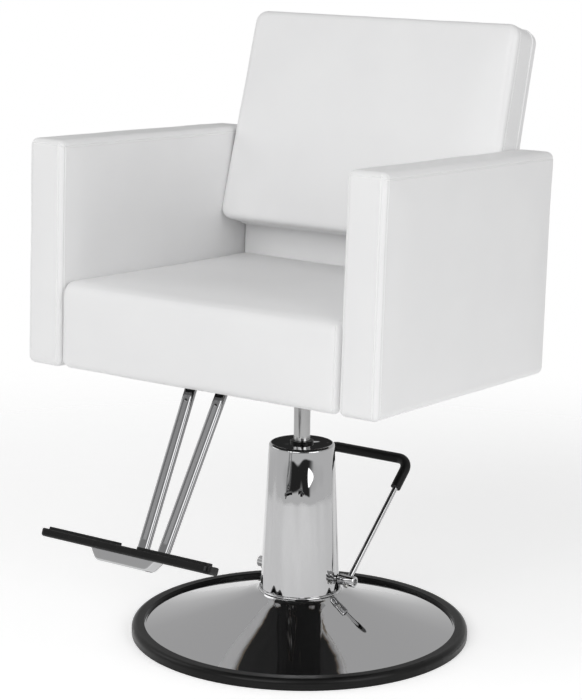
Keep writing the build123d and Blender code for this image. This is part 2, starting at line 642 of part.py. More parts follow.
# ================================ swivel bracket ================================================
plate_bottom = BOARD_BOTTOM - BRACKET_PLATE
hub_socket = ROD_SHOULDER + THRUST_THICKNESS + RUNNING
with BuildPart() as swivel_bracket:
    with BuildSketch(SEAT.offset(plate_bottom)):
        RectangleRounded(BRACKET_SIZE, BRACKET_SIZE, BRACKET_CORNER)
    extrude(amount=BRACKET_PLATE)
    with BuildSketch(Plane.XY.offset(HUB_BOTTOM)):
        Circle(HUB_RADIUS)
    extrude(amount=HUB_TOP - HUB_BOTTOM)
    for turn in (45, 135, 225, 315):
        with BuildSketch(Plane.XZ.rotated((0, 0, turn))):
            with BuildLine():
                Polyline(
                    (HUB_RADIUS - RIB_ROOT, HUB_TOP),
                    (HUB_RADIUS + RIB_REACH, HUB_TOP),
                    (HUB_RADIUS - RIB_ROOT, HUB_TOP - RIB_DROP),
                    close=True,
                )
            make_face()
        extrude(amount=RIB_THICKNESS / 2, both=True)
    # whatever of the ribs and hub would stand proud of the plate is cut flush with its top
    with BuildSketch(SEAT.offset(BOARD_BOTTOM)):
        Rectangle(BRACKET_SIZE * 2, BRACKET_SIZE * 2)
    extrude(amount=BRACKET_SIZE, mode=Mode.SUBTRACT)
    with BuildSketch(Plane.XY.offset(HUB_TOP)):
        Circle(HUB_RADIUS - RIB_ROOT)
    extrude(amount=BRACKET_PLATE * 2, mode=Mode.SUBTRACT)
    with BuildSketch(Plane.XY.offset(HUB_BOTTOM)):
        Circle(ROD_RADIUS + RUNNING)
    extrude(amount=hub_socket - HUB_BOTTOM, mode=Mode.SUBTRACT)
    with BuildSketch(Plane.XY.offset(hub_socket)):
        Circle(SPIGOT_RADIUS + RUNNING)
    extrude(amount=HUB_TOP - hub_socket, mode=Mode.SUBTRACT)
    with BuildSketch(SEAT.offset(plate_bottom)):
        with GridLocations(BRACKET_BOLT_SPACING, BRACKET_BOLT_SPACING, 2, 2):
            Circle(BOLT_RADIUS + LOOSE)
    extrude(amount=BRACKET_PLATE, mode=Mode.SUBTRACT)

# ================================ seat frame ====================================================
board_length = board_front + board_rear
board_middle = (board_rear - board_front) / 2
flange_bolts_x = FLANGE_WIDTH - 2 * FLANGE_BOLT_SIDE
flange_bolts_y = FLANGE_LENGTH - 2 * FLANGE_BOLT_END
flange_bottom = BOARD_BOTTOM - FLANGE_PLATE
board_top = BOARD_BOTTOM + BOARD_THICKNESS
bolt_head = BOLT_RADIUS * HEAD_SHARE
# each group of bolts under the seat board: its middle, its spacings and the plate it holds
seat_bolt_groups = (
    (0, BRACKET_BOLT_SPACING, BRACKET_BOLT_SPACING, plate_bottom),
    (FLANGE_Y, flange_bolts_x, flange_bolts_y, flange_bottom),
)

with BuildPart() as seat_bolts:
    for middle_y, spacing_x, spacing_y, plate_level in seat_bolt_groups:
        with BuildSketch(SEAT.offset(plate_level)):
            with Locations((0, middle_y)):
                with GridLocations(spacing_x, spacing_y, 2, 2):
                    RegularPolygon(BOLT_RADIUS * HEX_SHARE, 6)
        extrude(amount=-bolt_head)
        with BuildSketch(SEAT.offset(plate_level)):
            with Locations((0, middle_y)):
                with GridLocations(spacing_x, spacing_y, 2, 2):
                    Circle(BOLT_RADIUS)
        extrude(amount=board_top + bolt_head + BOLT_END - plate_level)

with BuildPart() as seat_nuts:
    for middle_y, spacing_x, spacing_y, _ in seat_bolt_groups:
        with BuildSketch(SEAT.offset(board_top)):
            with Locations((0, middle_y)):
                with GridLocations(spacing_x, spacing_y, 2, 2):
                    RegularPolygon(BOLT_RADIUS * HEX_SHARE, 6)
                    Circle(BOLT_RADIUS, mode=Mode.SUBTRACT)
        extrude(amount=bolt_head)

with BuildPart() as seat_board:
    with BuildSketch(SEAT.offset(BOARD_BOTTOM)):
        with Locations((0, board_middle)):
            Rectangle(2 * half_body, board_length)
        Circle(HUB_RADIUS + HUB_ROOM, mode=Mode.SUBTRACT)
        with GridLocations(BRACKET_BOLT_SPACING, BRACKET_BOLT_SPACING, 2, 2):
            Circle(BOLT_RADIUS + LOOSE, mode=Mode.SUBTRACT)
        with Locations((0, FLANGE_Y)):
            with GridLocations(flange_bolts_x, flange_bolts_y, 2, 2):
                Circle(BOLT_RADIUS + LOOSE, mode=Mode.SUBTRACT)
    extrude(amount=BOARD_THICKNESS)

rail_height = DECK_BOTTOM - board_top
with BuildPart() as front_rail:
    with BuildSketch(SEAT.offset(board_top)):
        with Locations((0, -board_front + RAIL / 2)):
            Rectangle(2 * half_body, RAIL)
        with Locations((0, FLANGE_Y)):
            with GridLocations(flange_bolts_x, flange_bolts_y, 2, 2):
                Circle(BOLT_RADIUS * HEX_SHARE + WIDE_CLEAR, mode=Mode.SUBTRACT)
    extrude(amount=rail_height)

with BuildPart() as rear_rail:
    with BuildSketch(SEAT.offset(board_top)):
        with Locations((0, board_rear - RAIL / 2)):
            Rectangle(2 * half_body, RAIL)
    extrude(amount=rail_height)

side_rail_length = board_length - 2 * RAIL
arm_bolt_hole = BOLT_RADIUS + LOOSE


def arm_bolt_holes(x):
    """Circles for one arm's bolts, sketched on the plane square to X at x."""
    with BuildSketch(beside(x)) as holes:
        with Locations(*[(y, ARM_BOLT_LEVEL) for y in ARM_BOLT_PLACES]):
            Circle(arm_bolt_hole)
    return holes.sketch


with BuildPart() as side_rails:
    with BuildSketch(SEAT.offset(board_top)):
        with Locations((half_body - RAIL / 2, board_middle)):
            Rectangle(RAIL, side_rail_length)
    extrude(amount=rail_height)
    extrude(arm_bolt_holes(half_body - RAIL), amount=RAIL, dir=(1, 0, 0), mode=Mode.SUBTRACT)
    mirror(about=Plane.YZ)

with BuildPart() as seat_deck:
    with BuildSketch(SEAT.offset(DECK_BOTTOM)):
        with Locations((0, board_middle)):
            Rectangle(2 * half_body, board_length)
    extrude(amount=DECK_THICKNESS)

deck_top = DECK_BOTTOM + DECK_THICKNESS
with BuildPart() as seat_cushion:
    with BuildSketch(beside(-half_body)):
        with BuildLine():
            Polyline(
                (-SEAT_FRONT, 0),
                (-SEAT_FRONT, SEAT_THICKNESS),
                (board_rear - SOFT_GAP, SEAT_THICKNESS),
                (board_rear - SOFT_GAP, deck_top + SOFT_GAP),
                (-board_front - SOFT_GAP, deck_top + SOFT_GAP),
                (-board_front - SOFT_GAP, 0),
                close=True,
            )
        cushion_profile = make_face()
        front_top = cushion_profile.vertices().group_by(Axis.X)[0].sort_by(Axis.Y)[-1]
        fillet(front_top, CUSHION_FRONT_ROUND)
    extrude(amount=2 * half_body)

bracket_hole = BRACKET_SIZE + 2 * DUST_COVER_GAP
with BuildPart() as dust_cover:
    with BuildSketch(SEAT.offset(BOARD_BOTTOM)):
        with Locations((0, board_middle)):
            Rectangle(2 * (half_body - DUST_COVER_SIDE), board_length - 2 * DUST_COVER_END)
        Rectangle(bracket_hole, bracket_hole, mode=Mode.SUBTRACT)
        with Locations((0, FLANGE_Y)):
            Rectangle(
                FLANGE_WIDTH + 2 * DUST_COVER_GAP,
                FLANGE_LENGTH + 2 * DUST_COVER_GAP,
                mode=Mode.SUBTRACT,
            )
    extrude(amount=-DUST_COVER)

core_front = board_rear + (REAR_PANEL_DEPTH - REAR_CORE_DEPTH) / 2
core_width = 2 * (half_body - REAR_CORE_MARGIN)
core_top = REAR_PANEL_HEIGHT - REAR_CORE_MARGIN
with BuildPart() as rear_panel_core:
    with BuildSketch(SEAT):
        with Locations((0, core_front + REAR_CORE_DEPTH / 2)):
            Rectangle(core_width, REAR_CORE_DEPTH)
    extrude(amount=core_top)

with BuildPart() as rear_panel_cover:
    with BuildSketch(SEAT):
        with Locations((0, board_rear + REAR_PANEL_DEPTH / 2)):
            Rectangle(2 * half_body, REAR_PANEL_DEPTH)
    extrude(amount=REAR_PANEL_HEIGHT)
    fillet(rear_panel_cover.edges().filter_by(Axis.X).sort_by(SEAT_UP)[-2:], REAR_PANEL_EDGE)
    with BuildSketch(SEAT):
        with Locations((0, core_front + REAR_CORE_DEPTH / 2)):
            Rectangle(core_width, REAR_CORE_DEPTH)
    extrude(amount=core_top, mode=Mode.SUBTRACT)

# ================================ backrest ======================================================
board_depth = BACK_DEPTH - BACK_SHELL_DEPTH - BACK_BOARD_THICKNESS


def back_outline(depth):
    """The backrest's outline, a little narrower at the top, on a plane this far behind its face."""
    with BuildSketch(BACK.offset(-depth)) as outline:
        with BuildLine():
            Polyline(
                (-half_body, 0),
                (half_body, 0),
                (BACK_TOP_WIDTH / 2, BACK_LENGTH),
                (-BACK_TOP_WIDTH / 2, BACK_LENGTH),
                close=True,
            )
        make_face()
        fillet(outline.vertices(), BACK_CORNER)
    return outline.sketch


def back_pocket(depth):
    """The back board's outline, on a plane this far behind the backrest's face."""
    with BuildSketch(BACK.offset(-depth)) as pocket:
        with Locations((0, BACK_LENGTH / 2)):
            Rectangle(
                BACK_TOP_WIDTH - 2 * BACK_BOARD_MARGIN,
                BACK_LENGTH - 2 * BACK_BOARD_MARGIN,
            )
    return pocket.sketch


def back_bolt(start, length, radius):
    """Cylinders along X for one side's back bolts, from x = start."""
    middle = board_depth + BACK_BOARD_THICKNESS / 2
    with BuildPart() as bolts:
        for up in BACK_BOLT_PLACES:
            centre = BACK.offset(-middle).from_local_coords((start, up, 0))
            with BuildSketch(Plane(centre, z_dir=(1, 0, 0))):
                Circle(radius)
            extrude(amount=length)
    return bolts.part


back_board_side = BACK_TOP_WIDTH / 2 - BACK_BOARD_MARGIN
bolt_start = back_board_side - BACK_BOLT_GRIP
back_head_start = arm_core_in + BACK_HEAD_DEPTH
with BuildPart() as back_board:
    extrude(back_pocket(board_depth), amount=-BACK_BOARD_THICKNESS)
    bore_length = BACK_BOLT_GRIP + 2 * OVERCUT
    bore = back_bolt(bolt_start - OVERCUT, bore_length, BOLT_RADIUS + LOOSE)
    add(bore, mode=Mode.SUBTRACT)
    add(mirror(bore, about=Plane.YZ), mode=Mode.SUBTRACT)

with BuildPart() as back_cushion:
    extrude(back_outline(0), amount=-(BACK_DEPTH - BACK_SHELL_DEPTH))
    fillet(back_cushion.faces().sort_by(BACK_OUT)[-1].edges(), BACK_EDGE)
    extrude(back_pocket(board_depth), amount=-BACK_BOARD_THICKNESS, mode=Mode.SUBTRACT)
    side_length = half_seat - bolt_start + 2 * OVERCUT
    side_bore = back_bolt(bolt_start, side_length, BOLT_RADIUS + LOOSE)
    add(side_bore, mode=Mode.SUBTRACT)
    add(mirror(side_bore, about=Plane.YZ), mode=Mode.SUBTRACT)

with BuildPart() as back_shell:
    extrude(back_outline(BACK_DEPTH - BACK_SHELL_DEPTH), amount=-BACK_SHELL_DEPTH)
    fillet(back_shell.faces().sort_by(BACK_OUT)[0].edges(), BACK_EDGE / 2)

with BuildPart() as back_bolts:
    shanks = back_bolt(bolt_start, back_head_start - bolt_start, BOLT_RADIUS)
    heads = back_bolt(back_head_start, bolt_head, BOLT_RADIUS * HEX_SHARE)
    add(shanks)
    add(heads)
    add(mirror(shanks, about=Plane.YZ))
    add(mirror(heads, about=Plane.YZ))

# ================================ arms ==========================================================
arm_length = SEAT_FRONT + SEAT_REAR
arm_middle = (SEAT_REAR - SEAT_FRONT) / 2
core_length = arm_length - 2 * ARM_PAD
core_bottom_to_top = ARM_HEIGHT - ARM_PAD - ARM_FRAME_BOTTOM
core_level = ARM_FRAME_BOTTOM + core_bottom_to_top / 2
window_height = core_bottom_to_top - 2 * ARM_STILE
# two windows between three stiles
window_length = (core_length - 3 * ARM_STILE) / 2

with BuildPart() as arm_frame_left:
    with BuildSketch(beside(arm_core_in)):
        with Locations((arm_middle, core_level)):
            Rectangle(core_length, core_bottom_to_top)
            with GridLocations(window_length + ARM_STILE, 0, 2, 1):
                RectangleRounded(
                    window_length,
                    window_height,
                    ARM_WINDOW_CORNER,
                    mode=Mode.SUBTRACT,
                )
    extrude(amount=arm_core_out - arm_core_in)
    extrude(arm_bolt_holes(arm_core_in), amount=ARM_BOLT_GRIP, dir=(1, 0, 0), mode=Mode.SUBTRACT)
    frame_bore = BACK_HEAD_DEPTH + 2 * OVERCUT
    add(back_bolt(arm_core_in - OVERCUT, frame_bore, BOLT_RADIUS + LOOSE), mode=Mode.SUBTRACT)
    add(back_bolt(back_head_start, ARM_WIDTH, BOLT_RADIUS * HEX_SHARE + LOOSE), mode=Mode.SUBTRACT)

with BuildPart() as arm_cover_left:
    with BuildSketch(beside(half_seat)):
        with Locations((arm_middle, ARM_HEIGHT / 2)):
            Rectangle(arm_length, ARM_HEIGHT)
    extrude(amount=ARM_WIDTH)
    fillet(arm_cover_left.edges(), ARM_EDGE)
    with BuildSketch(beside(arm_core_in)):
        with Locations((arm_middle, (ARM_HEIGHT - ARM_PAD) / 2)):
            Rectangle(core_length, ARM_HEIGHT - ARM_PAD)
    extrude(amount=arm_core_out - arm_core_in, mode=Mode.SUBTRACT)
    extrude(arm_bolt_holes(half_seat), amount=ARM_PAD, dir=(1, 0, 0), mode=Mode.SUBTRACT)
    pad_bore = ARM_PAD + 2 * OVERCUT
    add(back_bolt(half_seat - OVERCUT, pad_bore, BOLT_RADIUS + LOOSE), mode=Mode.SUBTRACT)

with BuildPart() as arm_frame_right:
    mirror(arm_frame_left.part, about=Plane.YZ)

with BuildPart() as arm_cover_right:
    mirror(arm_cover_left.part, about=Plane.YZ)

with BuildPart() as arm_bolts:
    with BuildSketch(beside(half_body - RAIL)):
        with Locations(*[(y, ARM_BOLT_LEVEL) for y in ARM_BOLT_PLACES]):
            RegularPolygon(ARM_BOLT_HEAD, 6)
    extrude(amount=-bolt_head)
    with BuildSketch(beside(half_body - RAIL)):
        with Locations(*[(y, ARM_BOLT_LEVEL) for y in ARM_BOLT_PLACES]):
            Circle(BOLT_RADIUS)
    extrude(amount=arm_core_in + ARM_BOLT_GRIP - BOLT_END - half_body + RAIL)
    mirror(about=Plane.YZ)

# ================================ footrest ======================================================
with BuildPart() as footrest_flange:
    with BuildSketch(SEAT.offset(flange_bottom)):
        with Locations((0, FLANGE_Y)):
            RectangleRounded(FLANGE_WIDTH, FLANGE_LENGTH, FLANGE_CORNER)
            with GridLocations(flange_bolts_x, flange_bolts_y, 2, 2):
                Circle(BOLT_RADIUS + LOOSE, mode=Mode.SUBTRACT)
    extrude(amount=FLANGE_PLATE)

leg_line = LEG_FOOT - LEG_TOP
leg_down = leg_line.normalized()
leg_face = leg_down.cross(Vector(1, 0, 0)).normalized()
# the leg's front face: sketch y runs up the leg, and sketch x across it
LEG = Plane(LEG_TOP, x_dir=leg_face.cross(leg_down), z_dir=leg_face)
leg_length = leg_line.length
slot_length = leg_length - LEG_SLOT_TOP - LEG_SLOT_FOOT
with BuildPart() as footrest_leg_left:
    with BuildSketch(LEG):
        with Locations((0, -leg_length / 2)):
            Rectangle(LEG_WIDTH, leg_length + 2 * LEG_OVER)
    extrude(amount=LEG_DEPTH / 2, both=True)
    fillet(footrest_leg_left.edges().filter_by(Axis(LEG.origin, LEG.y_dir)), LEG_EDGE)
    with BuildSketch(LEG):
        with Locations((0, -LEG_SLOT_TOP - slot_length / 2)):
            SlotOverall(slot_length, LEG_SLOT, rotation=90)
    extrude(amount=LEG_DEPTH, both=True, mode=Mode.SUBTRACT)
    split(bisect_by=SEAT.offset(flange_bottom), keep=Keep.BOTTOM)
    split(bisect_by=FOOT.offset(FOOT_THICKNESS / 2), keep=Keep.TOP)

with BuildPart() as footrest_leg_right:
    mirror(footrest_leg_left.part, about=Plane.YZ)

tread_offset = FOOT_LENGTH / 2 - TREAD_INSET - TREAD_LENGTH / 2
tread_places = [(-tread_offset, FOOT_DEPTH / 2), (tread_offset, FOOT_DEPTH / 2)]
foot_top = FOOT_THICKNESS / 2
foot_bottom = -FOOT_THICKNESS / 2
screw_head_top = foot_bottom + FOOT_SCREW_HEAD_HEIGHT + LOOSE

with BuildPart() as foot_plate:
    with BuildSketch(FOOT):
        with Locations((0, FOOT_DEPTH / 2)):
            RectangleRounded(FOOT_LENGTH, FOOT_DEPTH, FOOT_CORNER)
    extrude(amount=FOOT_THICKNESS / 2, both=True)
    fillet(foot_plate.faces().sort_by(FOOT_UP)[0].edges(), FOOT_UNDER_EDGE)
    fillet(foot_plate.faces().sort_by(FOOT_UP)[-1].edges(), FOOT_TOP_EDGE)
    # a thinner lug behind the bar, level with its top, takes the legs
    with BuildSketch(FOOT.offset(foot_top)):
        with Locations((0, FOOT_DEPTH + (FOOT_LUG_REACH - FOOT_CORNER) / 2)):
            RectangleRounded(FOOT_LUG_WIDTH, FOOT_LUG_REACH + FOOT_CORNER, FOOT_LUG_CORNER)
    extrude(amount=-FOOT_LUG_THICKNESS)
    with BuildSketch(FOOT.offset(foot_bottom)):
        with Locations(*tread_places):
            with GridLocations(FOOT_SCREW_SPACING, 0, 2, 1):
                Circle(FOOT_SCREW_HEAD + LOOSE)
    extrude(amount=screw_head_top - foot_bottom, mode=Mode.SUBTRACT)
    with BuildSketch(FOOT.offset(foot_bottom)):
        with Locations(*tread_places):
            with GridLocations(FOOT_SCREW_SPACING, 0, 2, 1):
                Circle(FOOT_SCREW_RADIUS + LOOSE)
    extrude(amount=FOOT_THICKNESS, mode=Mode.SUBTRACT)

with BuildPart() as foot_treads:
    with BuildSketch(FOOT.offset(foot_top)):
        with Locations(*tread_places):
            RectangleRounded(TREAD_LENGTH, TREAD_DEPTH, TREAD_CORNER)
    extrude(amount=TREAD_THICKNESS)
    fillet(foot_treads.faces().filter_by(FOOT).group_by(FOOT_UP)[-1].edges(), TREAD_EDGE)
    with BuildSketch(FOOT.offset(foot_top)):
        with Locations(*tread_places):
            with GridLocations(FOOT_SCREW_SPACING, 0, 2, 1):
                Circle(FOOT_SCREW_RADIUS)
    extrude(amount=FOOT_SCREW_BITE, mode=Mode.SUBTRACT)

# the section under the bar: sketch y runs down from the bar's middle
boss_start = FOOT.from_local_coords((0, FOOT_UNDER_EDGE, 0))
BOSS = Plane(boss_start, x_dir=(1, 0, 0), z_dir=FOOT.y_dir)
with BuildPart() as foot_boss:
    with BuildSketch(BOSS):
        with BuildLine():
            Polyline(
                (-BOSS_WIDTH / 2, foot_top),
                (BOSS_WIDTH / 2, foot_top),
                (BOSS_WIDTH / 2 - BOSS_SLOPE, foot_top + BOSS_DROP),
                (BOSS_SLOPE - BOSS_WIDTH / 2, foot_top + BOSS_DROP),
                close=True,
            )
        boss_profile = make_face()
        fillet(boss_profile.vertices().group_by(Axis.Y)[-1], BOSS_CORNER)
    extrude(amount=BOSS_DEPTH)
    fillet(foot_boss.faces().sort_by(FOOT_UP)[0].edges().filter_by(Axis.X), BOSS_EDGE)

with BuildPart() as foot_screws:
    with BuildSketch(FOOT.offset(screw_head_top)):
        with Locations(*tread_places):
            with GridLocations(FOOT_SCREW_SPACING, 0, 2, 1):
                Circle(FOOT_SCREW_HEAD)
    extrude(amount=-FOOT_SCREW_HEAD_HEIGHT)
    with BuildSketch(FOOT.offset(screw_head_top)):
        with Locations(*tread_places):
            with GridLocations(FOOT_SCREW_SPACING, 0, 2, 1):
                Circle(FOOT_SCREW_RADIUS)
    extrude(amount=foot_top + FOOT_SCREW_BITE - screw_head_top)

# ================================ export ========================================================
PIECES = {
    "base_ring": base_ring,
    "base_dome": base_dome,
    "stiffener": stiffener,
    "base_bolts": base_bolts,
    "base_nuts": base_nuts,
    "pump_body": pump_body,
    "shaft_bushes": shaft_bushes,
    "valve_plate": valve_plate,
    "lift_cylinder": lift_cylinder,
    "oil_reservoir": oil_reservoir,
    "pump_head": pump_head,
    "guide_bush": guide_bush,
    "rod_seal": rod_seal,
    "pump_cover": pump_cover,
    "cover_collar": cover_collar,
    "rod_gland": rod_gland,
    "lever_shaft": lever_shaft,
    "lever_rod": lever_rod,
    "lever_sleeve": lever_sleeve,
    "lever_hubs": lever_hubs,
    "hub_screws": hub_screws,
    "pump_crank": pump_crank,
    "pump_plunger": pump_plunger,
    "plunger_spring": plunger_spring,
    "piston_rod": piston_rod,
    "piston": piston,
    "piston_seal": piston_seal,
    "piston_nut": piston_nut,
    "thrust_washer": thrust_washer,
    "retaining_washer": retaining_washer,
    "retaining_nut": retaining_nut,
    "swivel_bracket": swivel_bracket,
    "seat_bolts": seat_bolts,
    "seat_nuts": seat_nuts,
    "seat_board": seat_board,
    "front_rail": front_rail,
    "rear_rail": rear_rail,
    "side_rails": side_rails,
    "seat_deck": seat_deck,
    "seat_cushion": seat_cushion,
    "dust_cover": dust_cover,
    "rear_panel_core": rear_panel_core,
    "rear_panel_cover": rear_panel_cover,
    "back_board": back_board,
    "back_cushion": back_cushion,
    "back_shell": back_shell,
    "back_bolts": back_bolts,
    "arm_frame_left": arm_frame_left,
    "arm_cover_left": arm_cover_left,
    "arm_frame_right": arm_frame_right,
    "arm_cover_right": arm_cover_right,
    "arm_bolts": arm_bolts,
    "footrest_flange": footrest_flange,
    "footrest_leg_left": footrest_leg_left,
    "footrest_leg_right": footrest_leg_right,
    "foot_plate": foot_plate,
    "foot_treads": foot_treads,
    "foot_boss": foot_boss,
    "foot_screws": foot_screws,
}

for name, piece in PIECES.items():
    piece.part.label = name
    export_step(piece.part, f"parts/{name}.step")
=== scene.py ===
import json
import math

import bpy
import numpy as np
from mathutils import Matrix, Vector, noise


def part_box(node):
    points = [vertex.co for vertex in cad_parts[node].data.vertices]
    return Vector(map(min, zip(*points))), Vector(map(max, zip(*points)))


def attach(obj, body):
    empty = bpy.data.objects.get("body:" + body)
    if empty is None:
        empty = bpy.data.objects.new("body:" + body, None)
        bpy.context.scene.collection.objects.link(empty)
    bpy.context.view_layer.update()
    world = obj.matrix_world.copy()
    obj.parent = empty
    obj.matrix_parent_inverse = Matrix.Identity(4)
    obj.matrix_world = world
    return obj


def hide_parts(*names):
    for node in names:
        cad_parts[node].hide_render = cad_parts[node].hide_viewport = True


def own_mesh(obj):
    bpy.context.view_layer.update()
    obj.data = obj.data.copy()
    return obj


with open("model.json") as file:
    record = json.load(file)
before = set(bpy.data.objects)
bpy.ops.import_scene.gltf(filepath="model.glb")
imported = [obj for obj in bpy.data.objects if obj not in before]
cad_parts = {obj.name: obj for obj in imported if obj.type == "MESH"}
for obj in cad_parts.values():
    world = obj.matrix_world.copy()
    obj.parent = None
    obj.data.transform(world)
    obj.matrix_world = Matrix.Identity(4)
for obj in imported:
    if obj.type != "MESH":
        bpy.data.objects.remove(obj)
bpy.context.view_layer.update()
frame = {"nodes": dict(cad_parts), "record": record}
NODES = frame["nodes"]
MM = 0.001

# Angles of the CAD's own planes: the seat's from level and the backrest's from upright.
SEAT_TILT = math.radians(2)
BACK_LEAN = math.radians(16)


# ---- frames of reference ------------------------------------------------------------------------
def leaning(angle):
    """Axes turned back about X: columns are across, backwards and up, in the row frame."""
    c, s = math.cos(angle), math.sin(angle)
    return np.array([[1, 0, 0], [0, c, s], [0, -s, c]], float)


SEAT_AXES = leaning(SEAT_TILT)
BACK_AXES = leaning(BACK_LEAN)


def read_points(mesh):
    points = np.empty(len(mesh.vertices) * 3)
    mesh.vertices.foreach_get("co", points)
    return points.reshape(-1, 3)


def corners(node, axes):
    """Lowest and highest corner of a CAD node along the given axes, in metres."""
    local = read_points(NODES[node].data) @ axes
    return local.min(axis=0), local.max(axis=0)


# ---- materials ----------------------------------------------------------------------------------
CHROME = (0.5, 0.5, 0.505)
# chrome painted darker for the footrest legs: painted shade that stands in for darker reflections
SHADED_CHROME = (0.27, 0.27, 0.275)
DEEP_BLACK = (0.004, 0.004, 0.004)
COVER_STRAIGHT = 0.62  # the share of the pump cover's height below the part that leans in
COVER_LEAN = 0.0085
COVER_BANDS = 0.0014


def material(name, colour, metallic, roughness, specular=0.5):
    """A new material, its node tree, its Principled shader and a coordinate node."""
    made = bpy.data.materials.new(name)
    made.use_nodes = True
    tree = made.node_tree
    shader = tree.nodes["Principled BSDF"]
    shader.inputs["Base Color"].default_value = (*colour, 1)
    shader.inputs["Metallic"].default_value = metallic
    shader.inputs["Roughness"].default_value = roughness
    shader.inputs["Specular IOR Level"].default_value = specular
    place = tree.nodes.new("ShaderNodeTexCoord")
    return made, tree, shader, place


def texture(tree, place, kind, scale, detail=2.0, stretch=(1, 1, 1)):
    """A procedural texture in object coordinates, in cycles per metre."""
    mapping = tree.nodes.new("ShaderNodeMapping")
    mapping.inputs["Scale"].default_value = stretch
    tree.links.new(place.outputs["Object"], mapping.inputs["Vector"])
    made = tree.nodes.new(kind)
    made.inputs["Scale"].default_value = scale
    if "Detail" in made.inputs:
        made.inputs["Detail"].default_value = detail
    tree.links.new(mapping.outputs["Vector"], made.inputs["Vector"])
    return made


def spread(tree, source, low, high):
    """The source's 0 to 1 mapped to low to high."""
    ramp = tree.nodes.new("ShaderNodeMapRange")
    ramp.inputs["To Min"].default_value = low
    ramp.inputs["To Max"].default_value = high
    tree.links.new(source, ramp.inputs["Value"])
    return ramp.outputs["Result"]


def tint(tree, shader, factor, dark, light):
    """Base colour that wanders between two shades."""
    mix = tree.nodes.new("ShaderNodeMix")
    mix.data_type = "RGBA"
    mix.inputs["A"].default_value = (*dark, 1)
    mix.inputs["B"].default_value = (*light, 1)
    tree.links.new(factor, mix.inputs["Factor"])
    tree.links.new(mix.outputs["Result"], shader.inputs["Base Color"])


def bump(tree, shader, heights, strength=1.0):
    """Chained bumps: each height is (socket, depth in metres)."""
    last = None
    for socket, depth in heights:
        node = tree.nodes.new("ShaderNodeBump")
        node.inputs["Strength"].default_value = strength
        node.inputs["Distance"].default_value = depth
        tree.links.new(socket, node.inputs["Height"])
        if last:
            tree.links.new(last.outputs["Normal"], node.inputs["Normal"])
        last = node
    tree.links.new(last.outputs["Normal"], shader.inputs["Normal"])


def vinyl_material():
    made, tree, shader, place = material("white_vinyl", (0.86, 0.86, 0.865), 0, 0.42, 0.45)
    grain = texture(tree, place, "ShaderNodeTexVoronoi", 900)
    pores = texture(tree, place, "ShaderNodeTexNoise", 2600, 3)
    cloud = texture(tree, place, "ShaderNodeTexNoise", 9, 3)
    tint(tree, shader, cloud.outputs["Fac"], (0.835, 0.835, 0.84), (0.885, 0.885, 0.885))
    tree.links.new(
        spread(tree, cloud.outputs["Fac"], 0.36, 0.50), shader.inputs["Roughness"]
    )
    bump(
        tree,
        shader,
        [(grain.outputs["Distance"], 0.00008), (pores.outputs["Fac"], 0.00003)],
        0.5,
    )
    return made


def chrome_material(name, colour, roughness, wave=0.00002, stretch=(1, 1, 1)):
    made, tree, shader, place = material(name, colour, 1, roughness)
    cloud = texture(tree, place, "ShaderNodeTexNoise", 14, 3)
    swirl = texture(tree, place, "ShaderNodeTexNoise", 30, 1, stretch)
    tree.links.new(
        spread(tree, cloud.outputs["Fac"], roughness * 0.7, roughness * 1.5),
        shader.inputs["Roughness"],
    )
    bump(tree, shader, [(swirl.outputs["Fac"], wave)], 0.4)
    return made


def thread_material():
    made, tree, shader, place = material("thread", (0.8, 0.8, 0.79), 0, 0.6)
    twist = texture(tree, place, "ShaderNodeTexNoise", 1500, 2)
    tint(tree, shader, twist.outputs["Fac"], (0.66, 0.66, 0.65), (0.86, 0.86, 0.85))
    bump(tree, shader, [(twist.outputs["Fac"], 0.0001)], 0.6)
    return made


def cover_material():
    """Chrome on rolled sheet that leans in a little towards its top, unevenly round it."""
    made, tree, shader, place = material("cover_chrome", CHROME, 1, 0.03)
    base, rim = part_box("pump_cover")
    split = tree.nodes.new("ShaderNodeSeparateXYZ")
    tree.links.new(place.outputs["Object"], split.inputs["Vector"])
    lean = tree.nodes.new("ShaderNodeMapRange")
    lean.interpolation_type = "SMOOTHSTEP"
    lean.inputs["From Min"].default_value = base[2] + COVER_STRAIGHT * (rim[2] - base[2])
    lean.inputs["From Max"].default_value = rim[2]
    lean.inputs["To Min"].default_value = 1
    lean.inputs["To Max"].default_value = 0
    tree.links.new(split.outputs["Z"], lean.inputs["Value"])
    bands = texture(tree, place, "ShaderNodeTexNoise", 34, 1, (1, 1, 0.04))
    uneven = tree.nodes.new("ShaderNodeMath")
    uneven.operation = "MULTIPLY"
    tree.links.new(lean.outputs["Result"], uneven.inputs[0])
    tree.links.new(spread(tree, bands.outputs["Fac"], 0, 2), uneven.inputs[1])
    bump(
        tree,
        shader,
        [(uneven.outputs["Value"], COVER_LEAN), (bands.outputs["Fac"], COVER_BANDS)],
    )
    return made


def steel_material(name, colour, roughness, stretch):
    """Ground or turned steel: fine scratches along one way."""
    made, tree, shader, place = material(name, colour, 1, roughness)
    lines = texture(tree, place, "ShaderNodeTexNoise", 220, 4, stretch)
    tree.links.new(
        spread(tree, lines.outputs["Fac"], roughness * 0.7, roughness * 1.4),
        shader.inputs["Roughness"],
    )
    bump(tree, shader, [(lines.outputs["Fac"], 0.00003)], 0.3)
    return made


def black_material(name, colour, roughness, grain_scale, grain_depth, specular=0.3):
    """Moulded rubber, plastic or paint: near black with a fine texture."""
    made, tree, shader, place = material(name, colour, 0, roughness, specular)
    grain = texture(tree, place, "ShaderNodeTexNoise", grain_scale, 4)
    cloud = texture(tree, place, "ShaderNodeTexNoise", 22, 3)
    lighter = tuple(c * 1.8 + 0.002 for c in colour)
    tint(tree, shader, cloud.outputs["Fac"], colour, lighter)
    tree.links.new(
        spread(tree, cloud.outputs["Fac"], roughness * 0.8, roughness * 1.25),
        shader.inputs["Roughness"],
    )
    bump(tree, shader, [(grain.outputs["Fac"], grain_depth)], 0.5)
    return made


